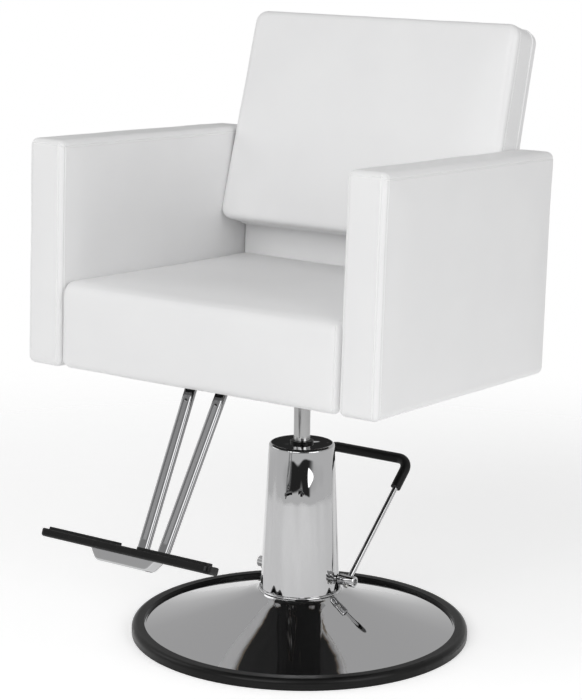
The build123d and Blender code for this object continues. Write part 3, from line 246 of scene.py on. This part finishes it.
def cast_material():
    made, tree, shader, place = material("cast_pump", (0.2, 0.2, 0.21), 0.7, 0.6)
    grit = texture(tree, place, "ShaderNodeTexNoise", 500, 5)
    cloud = texture(tree, place, "ShaderNodeTexNoise", 30, 3)
    tint(tree, shader, cloud.outputs["Fac"], (0.14, 0.14, 0.15), (0.27, 0.27, 0.28))
    bump(tree, shader, [(grit.outputs["Fac"], 0.0002)], 0.6)
    return made


def bronze_material():
    made, tree, shader, place = material("bronze", (0.6, 0.43, 0.2), 1, 0.32)
    cloud = texture(tree, place, "ShaderNodeTexNoise", 60, 3)
    tint(tree, shader, cloud.outputs["Fac"], (0.5, 0.34, 0.15), (0.68, 0.5, 0.26))
    bump(tree, shader, [(cloud.outputs["Fac"], 0.00004)], 0.3)
    return made


def plywood_material():
    made, tree, shader, place = material("plywood", (0.3, 0.25, 0.2), 0, 0.62)
    rings = texture(tree, place, "ShaderNodeTexNoise", 16, 6, (1, 9, 9))
    fibre = texture(tree, place, "ShaderNodeTexNoise", 120, 4, (0.2, 4, 4))
    tint(tree, shader, rings.outputs["Fac"], (0.22, 0.18, 0.14), (0.38, 0.32, 0.25))
    bump(tree, shader, [(fibre.outputs["Fac"], 0.0002)], 0.5)
    return made


def dust_cloth_material():
    made, tree, shader, place = material("dust_cloth", (0.02, 0.02, 0.02), 0, 0.95, 0.2)
    threads = texture(tree, place, "ShaderNodeTexVoronoi", 1100)
    cloud = texture(tree, place, "ShaderNodeTexNoise", 40, 3)
    tint(tree, shader, cloud.outputs["Fac"], (0.012, 0.012, 0.012), (0.03, 0.03, 0.03))
    bump(tree, shader, [(threads.outputs["Distance"], 0.0002)], 0.8)
    shader.inputs["Sheen Weight"].default_value = 0.3
    return made


MATERIALS = {
    "white_vinyl": vinyl_material(),
    "mirror_chrome": chrome_material("mirror_chrome", CHROME, 0.03),
    "ground_steel": steel_material("ground_steel", (0.42, 0.42, 0.42), 0.16, (1, 1, 0.05)),
    "zinc_steel": steel_material("zinc_steel", (0.55, 0.55, 0.53), 0.35, (1, 1, 1)),
    "black_steel": black_material("black_steel", (0.012, 0.012, 0.012), 0.4, 400, 0.0001),
    "cast_pump": cast_material(),
    "bronze": bronze_material(),
    "seal_rubber": black_material("seal_rubber", (0.01, 0.01, 0.01), 0.6, 600, 0.0001),
    "black_rubber": black_material("black_rubber", DEEP_BLACK, 0.3, 300, 0.00005, 0.16),
    "black_grip": black_material("black_grip", DEEP_BLACK, 0.42, 500, 0.0001, 0.18),
    "black_plastic": black_material("black_plastic", DEEP_BLACK, 0.26, 350, 0.00004, 0.2),
    "plywood": plywood_material(),
    "dust_cloth": dust_cloth_material(),
    "thread": thread_material(),
    "cover_chrome": cover_material(),
    # the legs' chrome colour is painted darker, as painted shade
    "leg_chrome": chrome_material("leg_chrome", SHADED_CHROME, 0.05, 0.0003, (1, 0.2, 0.1)),
}
# nodes whose slot's finish looks a little different on them: the pump cover's chrome has its own
# bumps, and the legs' chrome is painted darker as painted shade, for darker reflections
FINISHES = {
    "pump_cover": "cover_chrome",
    "footrest_leg_left": "leg_chrome",
    "footrest_leg_right": "leg_chrome",
}
for entry in frame["record"]["subparts"]:
    node_mesh = NODES[entry["node"]].data
    node_mesh.materials.clear()
    node_mesh.materials.append(MATERIALS[FINISHES.get(entry["node"], entry["material_slot"])])


# ---- soft blocks: a lattice wrapped on a rounded form, blown up as cloth, then sewn --------------
PITCH = 9 * MM  # of the lattice on the flat
CLOTH_PITCH = 14 * MM  # of the coarse lattice that is simulated
LEAST_STEP = 0.35 * MM
CLEAR_OF_BREAK = 0.5 * MM
EDGE_STEPS = (0, 0.12, 0.28, 0.46, 0.66, 0.85, 1.0, 1.25)  # in edge roundings
SEAM_STEPS = (0, 0.7 * MM, 1.5 * MM, 2.6 * MM, 4.5 * MM)  # to each side of a seam
SEAM_DEPTH = 1.1 * MM
SEAM_WIDTH = 1.1 * MM
SEAM_PUCKER = 0.4 * MM
PUCKER_SIZE = 11 * MM
PUCKER_REACH = 9 * MM
SWELL_HEIGHT, SWELL_SIZE = 0.7 * MM, 80 * MM  # slow unevenness of the padding
CREASE_HEIGHT, CREASE_SIZE = 0.12 * MM, 20 * MM
ON_FACE = 0.1 * MM
STITCH_PITCH = 5 * MM
STITCH_LENGTH = 3.4 * MM
STITCH_RADIUS = 0.4 * MM
STITCH_BESIDE = 2.6 * MM
STITCH_RISE = 0.15 * MM  # its middle above the vinyl, and its ends below
STITCH_WIDTHS = (0.35, 1, 0.35)  # at its ends and middle, in stitch radii
STITCH_SIDES = 5
WRAP_ROUNDS = 6
PROBE = 2e-5  # the distance over which a form's slope is read
CLOTH_FRAMES = 16
RELAX_ROUNDS = 2
HELD_NEAR = 10 * MM


def steps(low, high, edge, seams, breaks):
    """Lattice positions from low to high: fine over both rounded edges and across each seam."""
    bend = [edge * t for t in EDGE_STEPS]
    fine = [low + b for b in bend] + [high - b for b in bend]
    fine += [s + side * a for s in seams for a in SEAM_STEPS for side in (-1, 1)]
    kept = [low]
    for v in sorted(fine):
        if kept[-1] + LEAST_STEP < v < high - LEAST_STEP:
            if all(abs(v - b) > CLEAR_OF_BREAK for b in breaks):
                kept.append(v)
    kept = sorted(kept + [high, *breaks])
    out = []
    for a, b in zip(kept, kept[1:]):
        parts = max(1, round((b - a) / PITCH))
        out += [a + (b - a) * i / parts for i in range(parts)]
    return np.array(out + [high])


def lattice(xs, ys, zs):
    """The surface of a box of lattice points: points, quads, and each point's (i, j, k)."""
    sizes = (len(xs), len(ys), len(zs))
    number, keys, quads = {}, [], []

    def point(key):
        if key not in number:
            number[key] = len(keys)
            keys.append(key)
        return number[key]

    for axis in range(3):
        u, v = (axis + 1) % 3, (axis + 2) % 3
        for end in (0, sizes[axis] - 1):
            for a in range(sizes[u] - 1):
                for b in range(sizes[v] - 1):
                    ring = []
                    for da, db in ((0, 0), (1, 0), (1, 1), (0, 1)):
                        key = [0, 0, 0]
                        key[axis], key[u], key[v] = end, a + da, b + db
                        ring.append(point(tuple(key)))
                    quads.append(ring if end else ring[::-1])
    keys = np.array(keys)
    points = np.stack([xs[keys[:, 0]], ys[keys[:, 1]], zs[keys[:, 2]]], axis=1)
    return points, quads, keys


def gradient(form, points):
    """Outward normals of a form given by its distance function."""
    parts = []
    for axis in range(3):
        shift = np.zeros(3)
        shift[axis] = PROBE
        parts.append(form(points + shift) - form(points - shift))
    normals = np.stack(parts, axis=1)
    return normals / np.maximum(np.linalg.norm(normals, axis=1, keepdims=True), 1e-12)


def wrap(points, form):
    """Moves lattice points onto the form's surface."""
    for _ in range(WRAP_ROUNDS):
        points = points - form(points)[:, None] * gradient(form, points)
    return points


def new_object(name, points, quads):
    mesh = bpy.data.meshes.new(name)
    mesh.from_pydata([tuple(p) for p in points], [], [tuple(q) for q in quads])
    mesh.update()
    made = bpy.data.objects.new(name, mesh)
    bpy.context.scene.collection.objects.link(made)
    return made


def inflate(points, quads, held, pressure, cap):
    """How far each point of a closed coarse shell moves when it is blown up as cloth."""
    shell = new_object("cloth_trial", points, quads)
    group = shell.vertex_groups.new(name="held")
    for index, weight in enumerate(held):
        group.add([index], float(weight), "REPLACE")
    cloth = shell.modifiers.new("Cloth", "CLOTH")
    settings = cloth.settings
    settings.quality = 6
    settings.mass = 0.25
    settings.tension_stiffness = 30
    settings.compression_stiffness = 30
    settings.shear_stiffness = 12
    settings.bending_stiffness = 2.0
    settings.use_pressure = True
    settings.uniform_pressure_force = pressure
    settings.vertex_group_mass = "held"
    settings.effector_weights.gravity = 0
    cloth.collision_settings.use_collision = False
    cloth.collision_settings.use_self_collision = False
    cloth.point_cache.frame_start = 1
    cloth.point_cache.frame_end = CLOTH_FRAMES
    scene = bpy.context.scene
    scene.frame_start, scene.frame_end = 1, CLOTH_FRAMES
    for number in range(1, CLOTH_FRAMES + 1):
        scene.frame_set(number)
    done = shell.evaluated_get(bpy.context.evaluated_depsgraph_get())
    drift = read_points(done.data) - points
    bpy.data.objects.remove(shell)
    scene.frame_set(1)
    length = np.linalg.norm(drift, axis=1, keepdims=True)
    return drift * (np.tanh(length / cap) * cap / np.maximum(length, 1e-9))


def carry(drift, coarse_keys, coarse, fine_points):
    """The coarse shell's movement read at the fine lattice's own places on the box."""
    full = np.zeros((len(coarse[0]), len(coarse[1]), len(coarse[2]), 3))
    full[coarse_keys[:, 0], coarse_keys[:, 1], coarse_keys[:, 2]] = drift
    index, share = [], []
    for axis in range(3):
        line = coarse[axis]
        cell = np.clip(np.searchsorted(line, fine_points[:, axis]) - 1, 0, len(line) - 2)
        t = (fine_points[:, axis] - line[cell]) / (line[cell + 1] - line[cell])
        index.append(cell)
        share.append(np.clip(t, 0, 1))
    out = np.zeros((len(fine_points), 3))
    for di in (0, 1):
        for dj in (0, 1):
            for dk in (0, 1):
                weight = (
                    (share[0] if di else 1 - share[0])
                    * (share[1] if dj else 1 - share[1])
                    * (share[2] if dk else 1 - share[2])
                )
                out += weight[:, None] * full[index[0] + di, index[1] + dj, index[2] + dk]
    return out


def relax(values, quads):
    """Evens a field out over the quads' edges."""
    edges = np.array([(q[i], q[(i + 1) % 4]) for q in quads for i in range(4)])
    count = np.bincount(edges[:, 0], minlength=len(values)).astype(float)
    for _ in range(RELAX_ROUNDS):
        total = np.zeros_like(values)
        np.add.at(total, edges[:, 0], values[edges[:, 1]])
        values = 0.5 * values + 0.5 * total / count[:, None]
    return values


def ripple(points, size, seed):
    """Smooth noise from -1 to 1, with lumps of about this size."""
    shift = Vector((seed * 7.3, seed * 3.1, seed * 5.7))
    return np.array([noise.noise(Vector(p) / size + shift) for p in points])


def soft_piece(
    name, form, box, edge, axes, seams, held, pressure, cap, seed, reshape=None, breaks=()
):
    """A padded piece and the threads along its seams.

    form is its distance function and box its lattice's corners, both along axes. Each seam is
    (axis, place, face axis, face side, thread side): a sewn line on that face of the box, where
    the lattice coordinate is at place, with its thread to one side of it or none for 0. held gives
    each coarse point's pinning, from 0 to 1. reshape moves the finished points, given the flat
    ones too, and breaks are more lattice lines that it needs.
    """
    low, high = box
    edges = edge if isinstance(edge, tuple) else (edge, edge, edge)
    coarse, keys, drift = [], None, None
    for a in range(3):
        count = max(4, round((high[a] - low[a]) / CLOTH_PITCH) + 1)
        coarse.append(np.linspace(low[a], high[a], count))
    rough, rough_quads, keys = lattice(*coarse)
    drift = inflate(wrap(rough, form), rough_quads, held(rough), pressure, cap)
    drift = relax(drift, rough_quads)

    def place(flat):
        """Where points of the flat box end up, and the outward normals there."""
        points = wrap(flat, form)
        normals = gradient(form, points)
        if drift is not None:
            points = points + carry(drift, keys, coarse, flat)
        lift = SWELL_HEIGHT * ripple(points, SWELL_SIZE, seed)
        lift += CREASE_HEIGHT * ripple(points, CREASE_SIZE, seed + 1)
        for axis, line, face, side, _ in seams:
            away = np.abs(flat[:, axis] - line)
            on = np.abs(flat[:, face] - (high if side else low)[face]) < ON_FACE
            pucker = ripple(points, PUCKER_SIZE, seed + 2) * np.exp(-away / PUCKER_REACH)
            groove = -SEAM_DEPTH * np.exp(-((away / SEAM_WIDTH) ** 2))
            lift += on * (groove + SEAM_PUCKER * pucker)
        points = points + normals * lift[:, None]
        return (reshape(flat, points) if reshape else points), normals

    places = [[s[1] for s in seams if s[0] == axis] for axis in range(3)]
    extra = [[b[1] for b in breaks if b[0] == axis] for axis in range(3)]
    flat, quads, _ = lattice(
        *[steps(low[a], high[a], edges[a], places[a], extra[a]) for a in range(3)]
    )
    made = new_object(name, place(flat)[0] @ axes.T, quads)
    finish_smooth(made, "white_vinyl")
    sewn = []
    for axis, line, face, side, beside in seams:
        if not beside:
            continue
        along = 3 - axis - face
        count = int((high[along] - low[along]) / STITCH_PITCH)
        run = low[along] + STITCH_PITCH * (np.arange(count) + 0.5)
        ends = []
        for shift in (-STITCH_LENGTH / 2, 0, STITCH_LENGTH / 2):
            flat = np.empty((count, 3))
            flat[:, axis] = line + beside * STITCH_BESIDE
            flat[:, face] = (high if side else low)[face]
            flat[:, along] = run + shift
            points, normals = place(flat)
            ends.append(points - (STITCH_RISE if shift else -STITCH_RISE) * normals)
        sewn.append((np.stack(ends, axis=1) @ axes.T, normals @ axes.T))
    if sewn:
        thread(made, name + "_thread", sewn)
    return made


def finish_smooth(made, finish):
    made.data.materials.append(MATERIALS[finish])
    for polygon in made.data.polygons:
        polygon.use_smooth = True


def thread(piece, name, rows):
    """Short stitches, each a small closed spindle along three points, parented to their piece."""
    points, quads = [], []
    sides = STITCH_SIDES
    for spots, normals in rows:
        ahead = spots[:, 2] - spots[:, 0]
        ahead /= np.linalg.norm(ahead, axis=1, keepdims=True)
        across = np.cross(ahead, normals)
        for number in range(len(spots)):
            start = len(points)
            for place, width in zip(spots[number], STITCH_WIDTHS):
                for side in range(sides):
                    turn = 2 * math.pi * side / sides
                    reach = math.cos(turn) * across[number] + math.sin(turn) * normals[number]
                    points.append(place + STITCH_RADIUS * width * reach)
            for ring in (0, sides):
                for side in range(sides):
                    a, b = start + ring + side, start + ring + (side + 1) % sides
                    quads.append((a, b, b + sides, a + sides))
            quads.append(tuple(start + side for side in reversed(range(sides))))
            quads.append(tuple(start + 2 * sides + side for side in range(sides)))
    made = new_object(name, points, quads)
    finish_smooth(made, "thread")
    made.parent = piece
    return made


def rounded(reach, edge):
    """Distance to a corner rounded by edge, from how far points reach past where it starts."""
    outside = np.linalg.norm(np.maximum(reach, 0), axis=1)
    return outside + np.minimum(reach.max(axis=1), 0) - edge


def sd_box(low, high, edge):
    """Distance to a box with rounded edges."""
    centre, half = (low + high) / 2, (high - low) / 2

    def form(points):
        return rounded(np.abs(points - centre) - half + edge, edge)

    return form


def sew(piece, node):
    """Declares a padded piece of the seat that stands for a CAD node."""
    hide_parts(node)
    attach(piece, "seat")


def boundary_held(box, faces):
    """Pinning for a coarse box lattice: its edges are sewn, and the listed (axis, side) faces."""
    low, high = box

    def held(points):
        at_low = points - low < HELD_NEAR
        at_high = high - points < HELD_NEAR
        sewn = (at_low | at_high).sum(axis=1) >= 2
        for axis, side in faces:
            sewn = sewn | (at_high[:, axis] if side else at_low[:, axis])
        return sewn.astype(float)

    return held


def tube(name, path, inwards, radius, sides):
    """A round cord along a closed path; inwards gives one direction across the path."""
    ahead = np.roll(path, -1, axis=0) - np.roll(path, 1, axis=0)
    ahead /= np.linalg.norm(ahead, axis=1, keepdims=True)
    across = np.cross(ahead, np.broadcast_to(inwards, path.shape))
    across /= np.linalg.norm(across, axis=1, keepdims=True)
    other = np.cross(across, ahead)
    points, quads = [], []
    count = len(path)
    for side in range(sides):
        turn = 2 * math.pi * side / sides
        points.append(path + radius * (math.cos(turn) * across + math.sin(turn) * other))
    points = np.concatenate(points)
    for side in range(sides):
        for i in range(count):
            a, b = side * count, (side + 1) % sides * count
            j = (i + 1) % count
            quads.append((a + i, a + j, b + j, b + i))
    made = new_object(name, points, quads)
    finish_smooth(made, "white_vinyl")
    return made


# Arms: closed boxes, each with a front panel and a top strip sewn in just inside its edges.
ARM_EDGE = 12.5 * MM
SEAM_INSET = 7 * MM
STRIP_INSET = 1.4 * SEAM_INSET
for node, seed in (("arm_cover_left", 3), ("arm_cover_right", 11)):
    low, high = corners(node, SEAT_AXES)
    form = sd_box(low, high, ARM_EDGE)
    front, top = low[1], high[2]
    seams = [
        (0, low[0] + SEAM_INSET, 1, 0, 1),
        (0, high[0] - SEAM_INSET, 1, 0, -1),
        (2, top - SEAM_INSET, 1, 0, 0),
        (2, top - STRIP_INSET, 0, 0, -1),
        (2, top - STRIP_INSET, 0, 1, -1),
        (1, front + STRIP_INSET, 0, 0, 1),
        (1, front + STRIP_INSET, 0, 1, 1),
    ]
    box = (low, high)
    cover = soft_piece(
        node + "_vinyl", form, box, ARM_EDGE, SEAT_AXES, seams,
        boundary_held(box, [(2, 0)]), 4.0, 3.5 * MM, seed=seed,
    )
    sew(cover, node)

# Seat: a pad on the deck that wraps down over the front rail. Its lattice is a full block, whose
# lower part behind the front flap is then pressed up to the deck.
SEAT_FRONT_ROUND = 24 * MM
SEAT_SIDE_ROUND = 16 * MM
SEAT_SEAM_INSET = 6 * MM
SQUEEZE_DEPTH = 24 * MM  # the top of the pad that keeps its shape
FOLD = 0.4 * MM  # the step in y over which the flap turns under the deck
low, high = corners("seat_cushion", SEAT_AXES)
deck_top = corners("seat_deck", SEAT_AXES)[1][2]
flap_rear = corners("front_rail", SEAT_AXES)[0][1]


def sd_seat(low, high):
    """Distance to a block with rounded sides and a rounder top front edge."""
    centre, half = (low + high) / 2, (high - low) / 2
    edge = SEAT_SIDE_ROUND

    def form(points):
        y, z = points[:, 1] - centre[1], points[:, 2] - centre[2]
        corner = np.where((y < 0) & (z > 0), SEAT_FRONT_ROUND, edge)
        reach = np.stack([np.abs(y) - half[1] + corner, np.abs(z) - half[2] + corner], axis=1)
        profile = rounded(reach, corner)
        past_side = np.abs(points[:, 0] - centre[0]) - half[0]
        return rounded(np.stack([profile + edge, past_side + edge], axis=1), edge)

    return form


def pressed_up(base, top):
    """A reshaping that raises the block's underside behind the front flap to the deck."""
    squeeze_to = top - SQUEEZE_DEPTH

    def reshape(flat, points):
        behind = (flat[:, 1] > flap_rear + ON_FACE) & (points[:, 2] < squeeze_to)
        share = (points[:, 2] - base) / (squeeze_to - base)
        points = points.copy()
        points[behind, 2] = (deck_top + share * (squeeze_to - deck_top))[behind]
        return points

    return reshape


box = (low, high)
seat_pad = soft_piece(
    "seat_pad", sd_seat(low, high), box, SEAT_SIDE_ROUND, SEAT_AXES,
    [(0, low[0] + SEAT_SEAM_INSET, 1, 0, 0), (0, high[0] - SEAT_SEAM_INSET, 1, 0, 0)],
    boundary_held(box, [(2, 0), (0, 0), (0, 1), (1, 1)]), 5.0, 9 * MM, seed=5,
    reshape=pressed_up(low[2], high[2]), breaks=[(1, flap_rear), (1, flap_rear + FOLD)],
)
sew(seat_pad, "seat_cushion")

# Rear panel: a thin padded board between the arms.
PANEL_EDGE = 6 * MM
low, high = corners("rear_panel_cover", SEAT_AXES)
box = (low, high)
panel = soft_piece(
    "rear_panel_pad", sd_box(low, high, PANEL_EDGE), box, PANEL_EDGE, SEAT_AXES, [],
    boundary_held(box, [(2, 0), (0, 0), (0, 1)]), 2.5, 2.5 * MM, seed=8,
)
sew(panel, "rear_panel_cover")

# Backrest: a crowned pad in front, a firm shell behind, and a welt sewn in between them.
BACK_CORNER = 22 * MM
PAD_EDGE = 13 * MM
SHELL_EDGE = 6 * MM
JOIN_EDGE = 2 * MM  # where pad and shell meet
WELT = 2 * MM
WELT_POINTS = 720
WELT_SIDES = 10
WELT_LINE_EDGE = 4 * MM


def half_width(node, side):
    """Half the width of a backrest node at its foot or head, clear of the round corners."""
    local = read_points(NODES[node].data) @ BACK_AXES
    z = local[:, 2]
    middle = (z.min() + z.max()) / 2
    reach = 3 * BACK_CORNER
    near = z > middle + reach if side else z < middle - reach
    return np.abs(local[near, 0]).max()


def sd_slab(low, high, foot, head, front, rear):
    """Distance to the backrest's slab: tapered, with round corners and rounded front and rear."""
    centre, half = (low + high) / 2, (high - low) / 2

    def form(points):
        share = np.clip((points[:, 2] - low[2]) / (high[2] - low[2]), 0, 1)
        width = foot + (head - foot) * share
        reach = np.stack(
            [
                np.abs(points[:, 0] - centre[0]) - width + BACK_CORNER,
                np.abs(points[:, 2] - centre[2]) - half[2] + BACK_CORNER,
            ],
            axis=1,
        )
        outline = rounded(reach, BACK_CORNER)
        y = points[:, 1] - centre[1]
        edge = np.where(y < 0, front, rear)
        return rounded(np.stack([outline + edge, np.abs(y) - half[1] + edge], axis=1), edge)

    return form


foot, head = half_width("back_shell", 0), half_width("back_shell", 1)
low, high = corners("back_cushion", BACK_AXES)
box = (low, high)
pad = soft_piece(
    "backrest_pad", sd_slab(low, high, foot, head, PAD_EDGE, JOIN_EDGE), box,
    (BACK_CORNER, PAD_EDGE, BACK_CORNER), BACK_AXES,
    [(1, low[1] + 1.2 * PAD_EDGE, face, side, 1) for face in (0, 2) for side in (0, 1)],
    boundary_held(box, [(1, 1)]), 5.0, 9 * MM, seed=14,
)
sew(pad, "back_cushion")
low, high = corners("back_shell", BACK_AXES)
box = (low, high)
shell = soft_piece(
    "backrest_shell", sd_slab(low, high, foot, head, JOIN_EDGE, SHELL_EDGE), box,
    (BACK_CORNER, SHELL_EDGE, BACK_CORNER), BACK_AXES, [],
    boundary_held(box, [(1, 0)]), 2.0, 3 * MM, seed=17,
)
sew(shell, "back_shell")
turns = np.linspace(0, 2 * math.pi, WELT_POINTS, endpoint=False)
ring = np.stack([np.sin(turns), np.zeros(WELT_POINTS), np.cos(turns)], axis=1)
ring = (low + high) / 2 + ring / np.abs(ring).max(axis=1, keepdims=True) * (high - low) / 2
ring = wrap(ring, sd_slab(low, high, foot, head, WELT_LINE_EDGE, WELT_LINE_EDGE))
ring[:, 1] = low[1]
welt = tube("backrest_welt", ring @ BACK_AXES.T, BACK_AXES[:, 1], WELT, WELT_SIDES)
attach(welt, "seat")


# ---- return spring: the same coil as its own object on the base, in place of the CAD one ---------
coil = bpy.data.objects.new("return_coil", NODES["plunger_spring"].data.copy())
bpy.context.scene.collection.objects.link(coil)
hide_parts("plunger_spring")
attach(coil, "base")
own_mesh(coil)


# ---- floor, lights and camera -------------------------------------------------------------------
CHEST = (0, 0, 0.6)  # where the lights look


def area_light(name, azimuth, elevation, distance, size, power):
    """A square soft light on CHEST. Azimuth 0 is in front of the chair, 90 on its +X side."""
    a, e = math.radians(azimuth), math.radians(elevation)
    back = Vector((math.sin(a) * math.cos(e), -math.cos(a) * math.cos(e), math.sin(e)))
    data = bpy.data.lights.new(name, "AREA")
    data.size = size
    data.energy = power
    made = bpy.data.objects.new(name, data)
    made.location = Vector(CHEST) + back * distance
    made.rotation_euler = (-back).to_track_quat("-Z", "Y").to_euler()
    bpy.context.scene.collection.objects.link(made)
    return made


AZIMUTH, ELEVATION, ROLL = math.radians(34.66), math.radians(12.23), math.radians(0.69)
FLOOR_REACH = 2.6
FLOOR_LEVEL = -0.0005
FLOOR_SIDES = 96
FADE_START, FADE_END = 0.7, 2.2  # the floor melts into the background between these radii
floor_mesh = bpy.data.meshes.new("floor")
rim = [2 * math.pi * i / FLOOR_SIDES for i in range(FLOOR_SIDES)]
floor_mesh.from_pydata(
    [(FLOOR_REACH * math.cos(t), FLOOR_REACH * math.sin(t), FLOOR_LEVEL) for t in rim],
    [],
    [range(FLOOR_SIDES)],
)
floor = bpy.data.objects.new("floor", floor_mesh)
bpy.context.scene.collection.objects.link(floor)
floor_paint, tree, shader, place = material("floor_paint", (0.9, 0.9, 0.9), 0, 0.9, 0.1)
distance = tree.nodes.new("ShaderNodeVectorMath")
distance.operation = "LENGTH"
tree.links.new(place.outputs["Object"], distance.inputs[0])
fade = tree.nodes.new("ShaderNodeMapRange")
fade.interpolation_type = "SMOOTHSTEP"
fade.inputs["From Min"].default_value = FADE_START
fade.inputs["From Max"].default_value = FADE_END
fade.inputs["To Min"].default_value = 1
fade.inputs["To Max"].default_value = 0
tree.links.new(distance.outputs["Value"], fade.inputs["Value"])
tree.links.new(fade.outputs["Result"], shader.inputs["Alpha"])
shader.inputs["Emission Color"].default_value = (1, 1, 1, 1)
shader.inputs["Emission Strength"].default_value = 0.4
floor_mesh.materials.append(floor_paint)

key = area_light("key", 5, 28, 3.4, 2.2, 48)
fill = area_light("fill", 78, 18, 3.2, 2.0, 32)
left = area_light("left", -70, 25, 3.2, 1.8, 14)

# The camera sees a white world and matt surfaces an even grey one. Mirrors see greys, palest at
# the horizon, with a dark card low down in front of the chair and a small one behind it.
AMBIENT = 0.335
CARD_SHADE = 0.03
SKY = ((0.0, 0.78), (0.12, 0.66), (0.35, 0.58), (0.7, 0.6), (1.0, 0.62))  # height and shade
world = bpy.data.worlds.new("studio")
world.use_nodes = True
bpy.context.scene.world = world
tree = world.node_tree
out = tree.nodes["World Output"]
seen = tree.nodes["Background"]
seen.inputs["Color"].default_value = (1, 1, 1, 1)
ambient = tree.nodes.new("ShaderNodeBackground")
ambient.inputs["Color"].default_value = (AMBIENT, AMBIENT, AMBIENT, 1)
mirrored = tree.nodes.new("ShaderNodeBackground")
place = tree.nodes.new("ShaderNodeTexCoord")
split = tree.nodes.new("ShaderNodeSeparateXYZ")
tree.links.new(place.outputs["Generated"], split.inputs["Vector"])
ramp = tree.nodes.new("ShaderNodeValToRGB")
tree.links.new(split.outputs["Z"], ramp.inputs["Fac"])
for level, _ in SKY[1:-1]:
    ramp.color_ramp.elements.new(level)
for element, (level, shade) in zip(ramp.color_ramp.elements, SKY):
    element.position = level
    element.color = (shade, shade, shade, 1)
dark = tree.nodes.new("ShaderNodeMix")
dark.data_type = "RGBA"
dark.inputs["B"].default_value = (CARD_SHADE, CARD_SHADE, CARD_SHADE, 1)
tree.links.new(ramp.outputs["Color"], dark.inputs["A"])


def toward(azimuth, elevation):
    """The share of each direction that points along one azimuth and elevation."""
    share = tree.nodes.new("ShaderNodeVectorMath")
    share.operation = "DOT_PRODUCT"
    share.inputs[1].default_value = (
        math.sin(azimuth) * math.cos(elevation),
        -math.cos(azimuth) * math.cos(elevation),
        math.sin(elevation),
    )
    tree.links.new(place.outputs["Generated"], share.inputs[0])
    return share.outputs["Value"]


def ranged(socket, start, end):
    """Rises smoothly from 0 to 1 as the socket's value goes from start to end."""
    mask = tree.nodes.new("ShaderNodeMapRange")
    mask.interpolation_type = "SMOOTHSTEP"
    mask.inputs["From Min"].default_value = start
    mask.inputs["From Max"].default_value = end
    tree.links.new(socket, mask.inputs["Value"])
    return mask.outputs["Result"]


def joined(operation, first, second):
    both = tree.nodes.new("ShaderNodeMath")
    both.operation = operation
    tree.links.new(first, both.inputs[0])
    tree.links.new(second, both.inputs[1])
    return both.outputs["Value"]


in_front = ranged(toward(AZIMUTH, 0), 0.72, 0.9)
above_floor = ranged(split.outputs["Z"], -0.01, 0.02)
below_top = ranged(split.outputs["Z"], 0.42, 0.34)
card = joined("MULTIPLY", in_front, joined("MULTIPLY", above_floor, below_top))
far_card = ranged(toward(AZIMUTH + math.pi, ELEVATION), 0.992, 0.9955)
tree.links.new(joined("MAXIMUM", card, far_card), dark.inputs["Factor"])
tree.links.new(dark.outputs["Result"], mirrored.inputs["Color"])
rays = tree.nodes.new("ShaderNodeLightPath")
matt = tree.nodes.new("ShaderNodeMixShader")
tree.links.new(rays.outputs["Is Glossy Ray"], matt.inputs["Fac"])
tree.links.new(ambient.outputs["Background"], matt.inputs[1])
tree.links.new(mirrored.outputs["Background"], matt.inputs[2])
choose = tree.nodes.new("ShaderNodeMixShader")
tree.links.new(rays.outputs["Is Camera Ray"], choose.inputs["Fac"])
tree.links.new(matt.outputs["Shader"], choose.inputs[1])
tree.links.new(seen.outputs["Background"], choose.inputs[2])
tree.links.new(choose.outputs["Shader"], out.inputs["Surface"])

AIM_HEIGHT, SIDEWAYS, DISTANCE = 0.49612, -0.02031, 3.64783
back = Vector(
    (
        math.sin(AZIMUTH) * math.cos(ELEVATION),
        -math.cos(AZIMUTH) * math.cos(ELEVATION),
        math.sin(ELEVATION),
    )
)
right = Vector((math.cos(AZIMUTH), math.sin(AZIMUTH), 0))
up = back.cross(right)
turned_right = math.cos(ROLL) * right + math.sin(ROLL) * up
turned_up = math.cos(ROLL) * up - math.sin(ROLL) * right
lens = bpy.data.cameras.new("camera")
lens.lens = 111.35
lens.sensor_width = 36
camera = bpy.data.objects.new("camera", lens)
bpy.context.scene.collection.objects.link(camera)
spot = Vector((0, 0, AIM_HEIGHT)) + DISTANCE * back + SIDEWAYS * right
camera.matrix_world = Matrix(
    [[turned_right[i], turned_up[i], back[i], spot[i]] for i in range(3)] + [[0, 0, 0, 1]]
)
bpy.context.scene.camera = camera
bpy.context.scene.view_settings.view_transform = "Standard"
